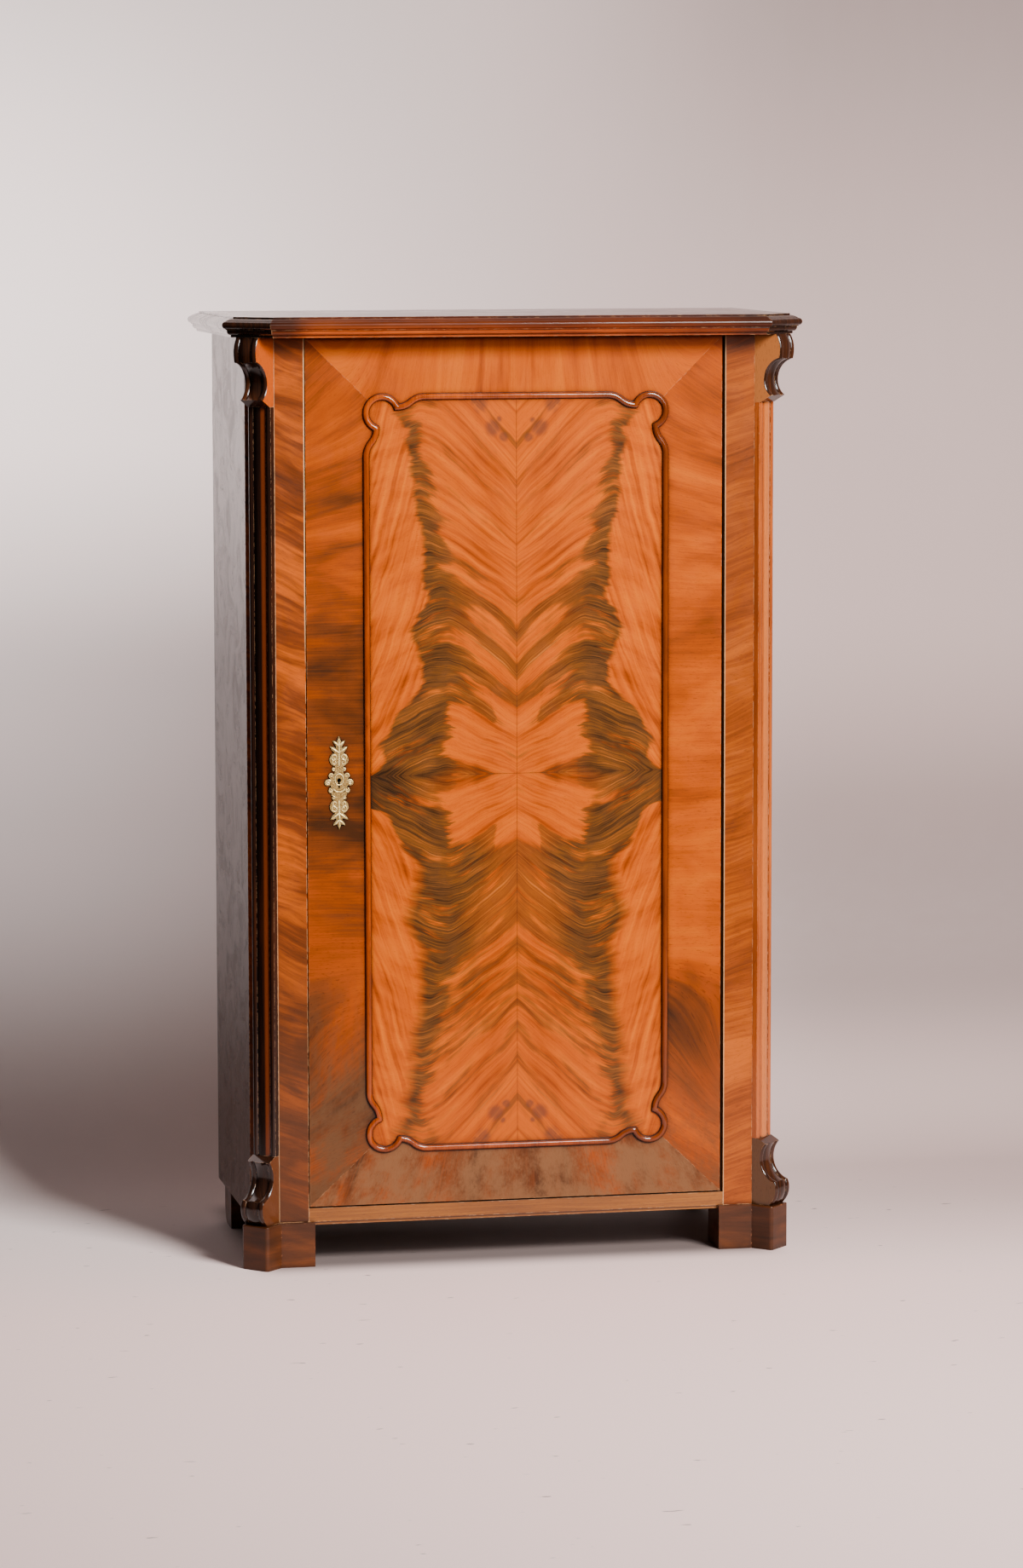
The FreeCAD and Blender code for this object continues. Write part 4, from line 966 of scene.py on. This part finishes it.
def spiral(x, z, radius, start, turns, thick, thin):
    """A scroll that curls inwards."""
    points = []
    for share in (step / 24 for step in range(25)):
        angle = start + turns * math.tau * share
        reach_now = radius * (1 - 0.72 * share)
        points.append((x + reach_now * math.cos(angle), z + reach_now * math.sin(angle),
                       thick + (thin - thick) * share))
    return points


def both_sides(points):
    ribs.extend([points, [(-x, z, t) for x, z, t in points]])


for middle, way in ((31.0, 1), (-39.5, -1)):
    both_sides(spiral(6.6, middle + 3.4 * way, 5.2, -1.2 * way, 1.15 * way, 1.25, 0.6))
    both_sides(spiral(6.4, middle - 4.4 * way, 4.4, 1.9 * way, -1.0 * way, 1.1, 0.5))
    both_sides([(0.6, middle + way * v, 0.9 + 0.3 * math.sin(v)) for v in range(-9, 10, 3)])
for scroll in ((16.4, -3.4, 4.3, 2.6, -1.2, 1.3, 0.6), (11.6, 7.2, 3.4, -0.6, 1.0, 1.1, 0.6),
               (12.0, -15.0, 3.3, 1.2, -1.0, 1.1, 0.6), (8.2, -26.2, 2.2, 1.4, 0.9, 0.9, 0.5),
               (7.6, 16.6, 2.3, -1.6, 0.9, 0.9, 0.5)):
    both_sides(spiral(*scroll))
print("ribs of the scrolls:", len(ribs))

# %% Draw the rings and the leaves
round_keyhole = [math.tau * step / 12 for step in range(13)]
ribs.append([(6.6 * math.cos(a), 1.2 + 8.6 * math.sin(a), 1.0) for a in round_keyhole])
under_keyhole = [math.pi * (1 + step / 10) for step in range(11)]
ribs.append([(8.5 * math.cos(a), -12.0 + 5.5 * math.sin(a), 1.1) for a in under_keyhole])
for foot, length, lean in ((41.0, 16.5, 55), (51.0, 12.0, 48), (41.0, 24.6, 0), (-49.5, 16.5, 125),
                           (-59.5, 12.0, 132), (-47.5, 25.8, 180)):
    tilt = math.radians(lean)
    leaf = []
    for share in (step / 8 for step in range(9)):
        reach_now = 0.84 * length * share
        leaf.append((reach_now * math.sin(tilt), foot + reach_now * math.cos(tilt),
                     0.5 + 1.3 * math.sin(math.pi * (0.12 + 0.8 * share))))
    ribs.append(leaf)
    if lean not in (0, 180):
        ribs.append([(-x, z, t) for x, z, t in leaf])
print("ribs on the escutcheon:", len(ribs))

# %% Sweep the ribs
verts = [(x * MM, z * MM, 0) for rib in ribs for x, z, _ in rib]
thickness = [t for rib in ribs for _, _, t in rib]
edges, first = [], 0
for rib in ribs:
    edges += [(i, i + 1) for i in range(first, first + len(rib) - 1)]
    first += len(rib)
relief = line_object("escutcheon_relief", verts, edges, wide=thickness, high=thickness)
bake_geometry(relief, sweep_tree, Sides=10, Caps=True, Width=MM, Height=MM, Material=gilt_finish)
stand_up(relief, key_x, plate_low.y + 0.2 * MM, key_z)
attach(relief, "door")
print("relief faces:", len(relief.data.polygons))

# %% [markdown]
# ## Screws, pins and nails
#
# Small fasteners repeat, so one tree puts one head on many points. Each point carries the direction that its
# head faces and its size. The head is a low dome with a slot cut across it for the screws, and a plain dome
# for pins and nails.


# %% Make the two kinds of head
def head_mesh(name, slotted, sides=24):
    """A fastener's head of radius 1 on the plane z = 0, facing +z."""
    rings = [(1.0, -0.25), (1.0, 0.12), (0.86, 0.28), (0.5, 0.38)]
    slot_floor, slot_half, slot_depth, dome_top = 0.2, 0.14, 0.22, 0.42
    verts = []
    for radius, height in rings:
        for angle in (math.tau * i / sides for i in range(sides)):
            x, y = radius * math.cos(angle), radius * math.sin(angle)
            in_slot = slotted and abs(y) < slot_half and height > slot_floor
            verts.append((x, y, height - slot_depth if in_slot else height))
    top = len(verts)
    verts.append((0, 0, slot_floor if slotted else dome_top))
    faces = [(ring + i, ring + (i + 1) % sides, ring + (i + 1) % sides + sides, ring + i + sides)
             for ring in range(0, top - sides, sides) for i in range(sides)]
    faces += [(top - sides + i, top - sides + (i + 1) % sides, top) for i in range(sides)]
    faces.append(tuple(range(sides - 1, -1, -1)))
    mesh = bpy.data.meshes.new(name)
    mesh.from_pydata(verts, [], faces)
    return bpy.data.objects.new(name, mesh)


slotted_head = head_mesh("slotted_head", True)
domed_head = head_mesh("domed_head", False)
print("faces of a head:", len(slotted_head.data.polygons))

# %% Build the tree that places heads
fastener_tree, took, gave = start_group(
    "place fasteners", {"Geometry": "Geometry", "Head": "Object", "Seed": 4, "Material": "Material"},
    ["Geometry"], "Geometry")
facing = named_number(fastener_tree, "facing", "FLOAT_VECTOR")
turned = signal(fastener_tree, "FunctionNodeAlignRotationToVector", {"Vector": facing}, axis="Z")
spin = signal(
    fastener_tree, "FunctionNodeRandomValue", {2: 0.0, 3: 3.1, "Seed": took["Seed"]}, 1, data_type="FLOAT")
about = signal(fastener_tree, "FunctionNodeAxisAngleToRotation", {"Axis": (0, 0, 1), "Angle": spin})
both = signal(fastener_tree, "FunctionNodeRotateRotation", {0: turned, 1: about}, rotation_space="LOCAL")
head = signal(fastener_tree, "GeometryNodeObjectInfo", {0: took["Head"]}, "Geometry")
finish_geometry(signal(fastener_tree, "GeometryNodeInstanceOnPoints", {
    "Points": took["Geometry"], "Instance": head, "Rotation": both,
    "Scale": named_number(fastener_tree, "size")}), took, gave)


def fasteners(name, places, toward, radius, head, material, body):
    """Heads at (x, y, z) places that all face the same way."""
    piece = line_object(name, places, [], size=[radius] * len(places))
    facings = piece.data.attributes.new("facing", "FLOAT_VECTOR", "POINT")
    facings.data.foreach_set("vector", toward * len(places))
    bake_geometry(piece, fastener_tree, Head=head, Material=material)
    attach(piece, body)
    print(name, "heads:", len(places))


# %% Place the fasteners
toward_front, toward_back = (0, -1, 0), (0, 1, 0)
pins = [(key_x + x * MM, plate_low.y, key_z + z * MM)
        for x, z in ((0, 24.6), (0, -33.4), (16.8, -3.4), (-16.8, -3.4))]
fasteners("escutcheon_pins", pins, toward_front, 1.5 * MM, domed_head, gilt_finish, "door")

case_low, case_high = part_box("lock_case")
lock_screws = [(x, case_high.y, z) for x in (case_low.x + 12 * MM, case_high.x - 6 * MM)
               for z in (case_low.z + 20 * MM, case_high.z - 20 * MM)]
fasteners("lock_screws", lock_screws, toward_back, 3.0 * MM, slotted_head, iron_finish, "door")

nail_heights = (0.088, 0.4115, 0.734, 1.0565, 1.38)
nails = []
for number in range(1, 5):
    low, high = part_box(f"back_board_{number}")
    nails += [(x, high.y, z) for x in (low.x + 18 * MM, high.x - 24 * MM) for z in nail_heights]
fasteners("back_board_nails", nails, toward_back, 2.6 * MM, domed_head, iron_finish, "carcass")

# %% [markdown]
# ## Floor, backdrop and light
#
# The picture was taken in a studio: a pale floor that runs up into a pale wall close behind the cupboard, and
# one large soft light high on the right. The sheet is swept from a profile: flat floor, quarter round, wall.
# Seen from behind it is see-through, so that the back of the cupboard can be looked at too.

# %% Make the studio sheet
floor_front = -14.0
bend_start = 0.45
bend_radius = 0.55
wall_height = 6.0
sheet_half = 9.0
profile = [(floor_front, 0.0), (-2.0, 0.0), (bend_start, 0.0)]
profile += [(bend_start + bend_radius * math.sin(a), bend_radius * (1 - math.cos(a)))
            for a in [math.pi / 2 * step / 24 for step in range(1, 25)]]
profile.append((bend_start + bend_radius, wall_height))
sheet_mesh = bpy.data.meshes.new("studio_sheet")
sheet_mesh.from_pydata([(x, y, z) for y, z in profile for x in (-sheet_half, sheet_half)], [],
                       [(2 * i, 2 * i + 1, 2 * i + 3, 2 * i + 2) for i in range(len(profile) - 1)])
sheet_mesh.polygons.foreach_set("use_smooth", [True] * len(sheet_mesh.polygons))
add_object("studio_sheet", sheet_mesh)
print("sheet normal on the floor:", tuple(sheet_mesh.polygons[0].normal))

# %% [markdown]
# ## Paint for the sheet
#
# The wall darkens to the right and towards its foot, which is painted shade in its colour, and the floor is
# warmer and has a little grit. Under the cupboard the floor carries a painted shadow. Light that bounces off
# the far floor would wash out the cupboard's dark side. The Light Path node tells a camera ray from a bounced
# one, so the sheet can look pale and still throw little light back.

# %% Colour the sheet
sheet_finish, tree, shader = start_material("studio paint")
x, y, z = split_axes(object_place(tree))
# painted shade: the wall is darker to the right
colour = blend_colours(spread(x, -0.6, 0.9), (236, 219, 216), (208, 181, 176))
colour = blend_colours(spread(y, 0.3, -0.5), colour, (254, 222, 217))
# painted shade on the right of the wall, in a band at its foot and over its upper part
painted_wall_shade = maths("MAXIMUM", spread(z, 0.04, 0.25) * spread(z, 0.9, 0.4, 0.0, 0.5), spread(z, 1.2, 2.2, 0.0, 0.5))
colour = blend_colours(painted_wall_shade * spread(x, 0.1, 0.8), colour, (60, 52, 50))
scuffs = noise(join_axes(x * 6.0, y * 30.0, z), 4.0, 6.0, 0.7)
colour = blend_colours(spread(scuffs, 0.66, 0.8, 0.0, 0.25), colour, (150, 142, 138))
grit = spread(noise(join_axes(x * 22.0, y * 60.0, z), 1.0, 2.0, 0.6), 0.71, 0.76, 0.0, 0.8)
colour = blend_colours(grit * spread(y, 0.5, 0.2), colour, (70, 60, 56))
print("sheet paint nodes so far:", len(tree.nodes))

# %% Keep the sheet's bounced light low, and paint the shadow under the cupboard
deep_shade = (20, 19, 19)
seen = signal(tree, "ShaderNodeLightPath", output="Is Camera Ray")
far_floor = maths("MAXIMUM", spread(y, -1.2, -2.8), spread(x, -0.9, -1.6))
colour = blend_colours(far_floor * (1.0 - seen), colour, deep_shade)
bounced = signal(tree, "ShaderNodeLightPath", output="Is Diffuse Ray")
colour = blend_colours(bounced * 0.6, colour, deep_shade)
# painted shadow on the floor under the cupboard
under = spread(abs(x), 0.42, 0.36) * spread(abs(y - 0.06), 0.3, 0.2)
colour = blend_colours(under * 0.85, colour, (52, 46, 43))
feed_shader(shader, colour, scuffs * 0.2 + 0.6, scuffs, 0.1, 0.001)
behind = signal(tree, "ShaderNodeNewGeometry", output="Backfacing")
clear = signal(tree, "ShaderNodeBsdfTransparent")
either = signal(tree, "ShaderNodeMixShader", {0: behind, 1: Signal(shader.outputs[0]), 2: clear})
feed(tree.nodes["Material Output"].inputs["Surface"], either)
sheet_mesh.materials.append(sheet_finish)
print("sheet paint nodes:", len(tree.nodes))


# %% Place the lights
def add_light(name, kind, place, target, **settings):
    data = bpy.data.lights.new(name, kind)
    for key, value in settings.items():
        setattr(data, key, value)
    made = add_object(name, data)
    made.location = place
    made.rotation_euler = (Vector(target) - Vector(place)).to_track_quat("-Z", "Y").to_euler()


add_light("key_light", "AREA", place=(1.9, -4.0, 3.6), target=(-0.1, -0.2, 0.6), energy=130,
          color=(1.0, 0.97, 0.95), shape="RECTANGLE", size=1.7, size_y=1.7, spread=math.radians(80))
add_light("front_fill", "AREA", place=(2.4, -5.2, 2.4), target=(0, 0, 0.8), energy=112,
          color=(1.0, 0.98, 0.97), shape="RECTANGLE", size=1.6, size_y=1.6, spread=math.radians(180))
add_light("wall_wash", "SPOT", place=(-2.6, -1.6, 2.4), target=(-0.95, 1.0, 1.25), energy=820,
          color=(1.0, 0.98, 0.98), spot_size=math.radians(34), spot_blend=1.0, shadow_soft_size=0.3)
world = bpy.data.worlds.new("studio_air")
world.use_nodes = True
air = world.node_tree.nodes["Background"]
air.inputs["Color"].default_value = tint((226, 220, 218))
seen = signal(world.node_tree, "ShaderNodeLightPath", output="Is Camera Ray")
feed(air.inputs["Strength"], seen * 0.95 + 0.08)
bpy.context.scene.world = world
print("lights:", len(bpy.data.lights))
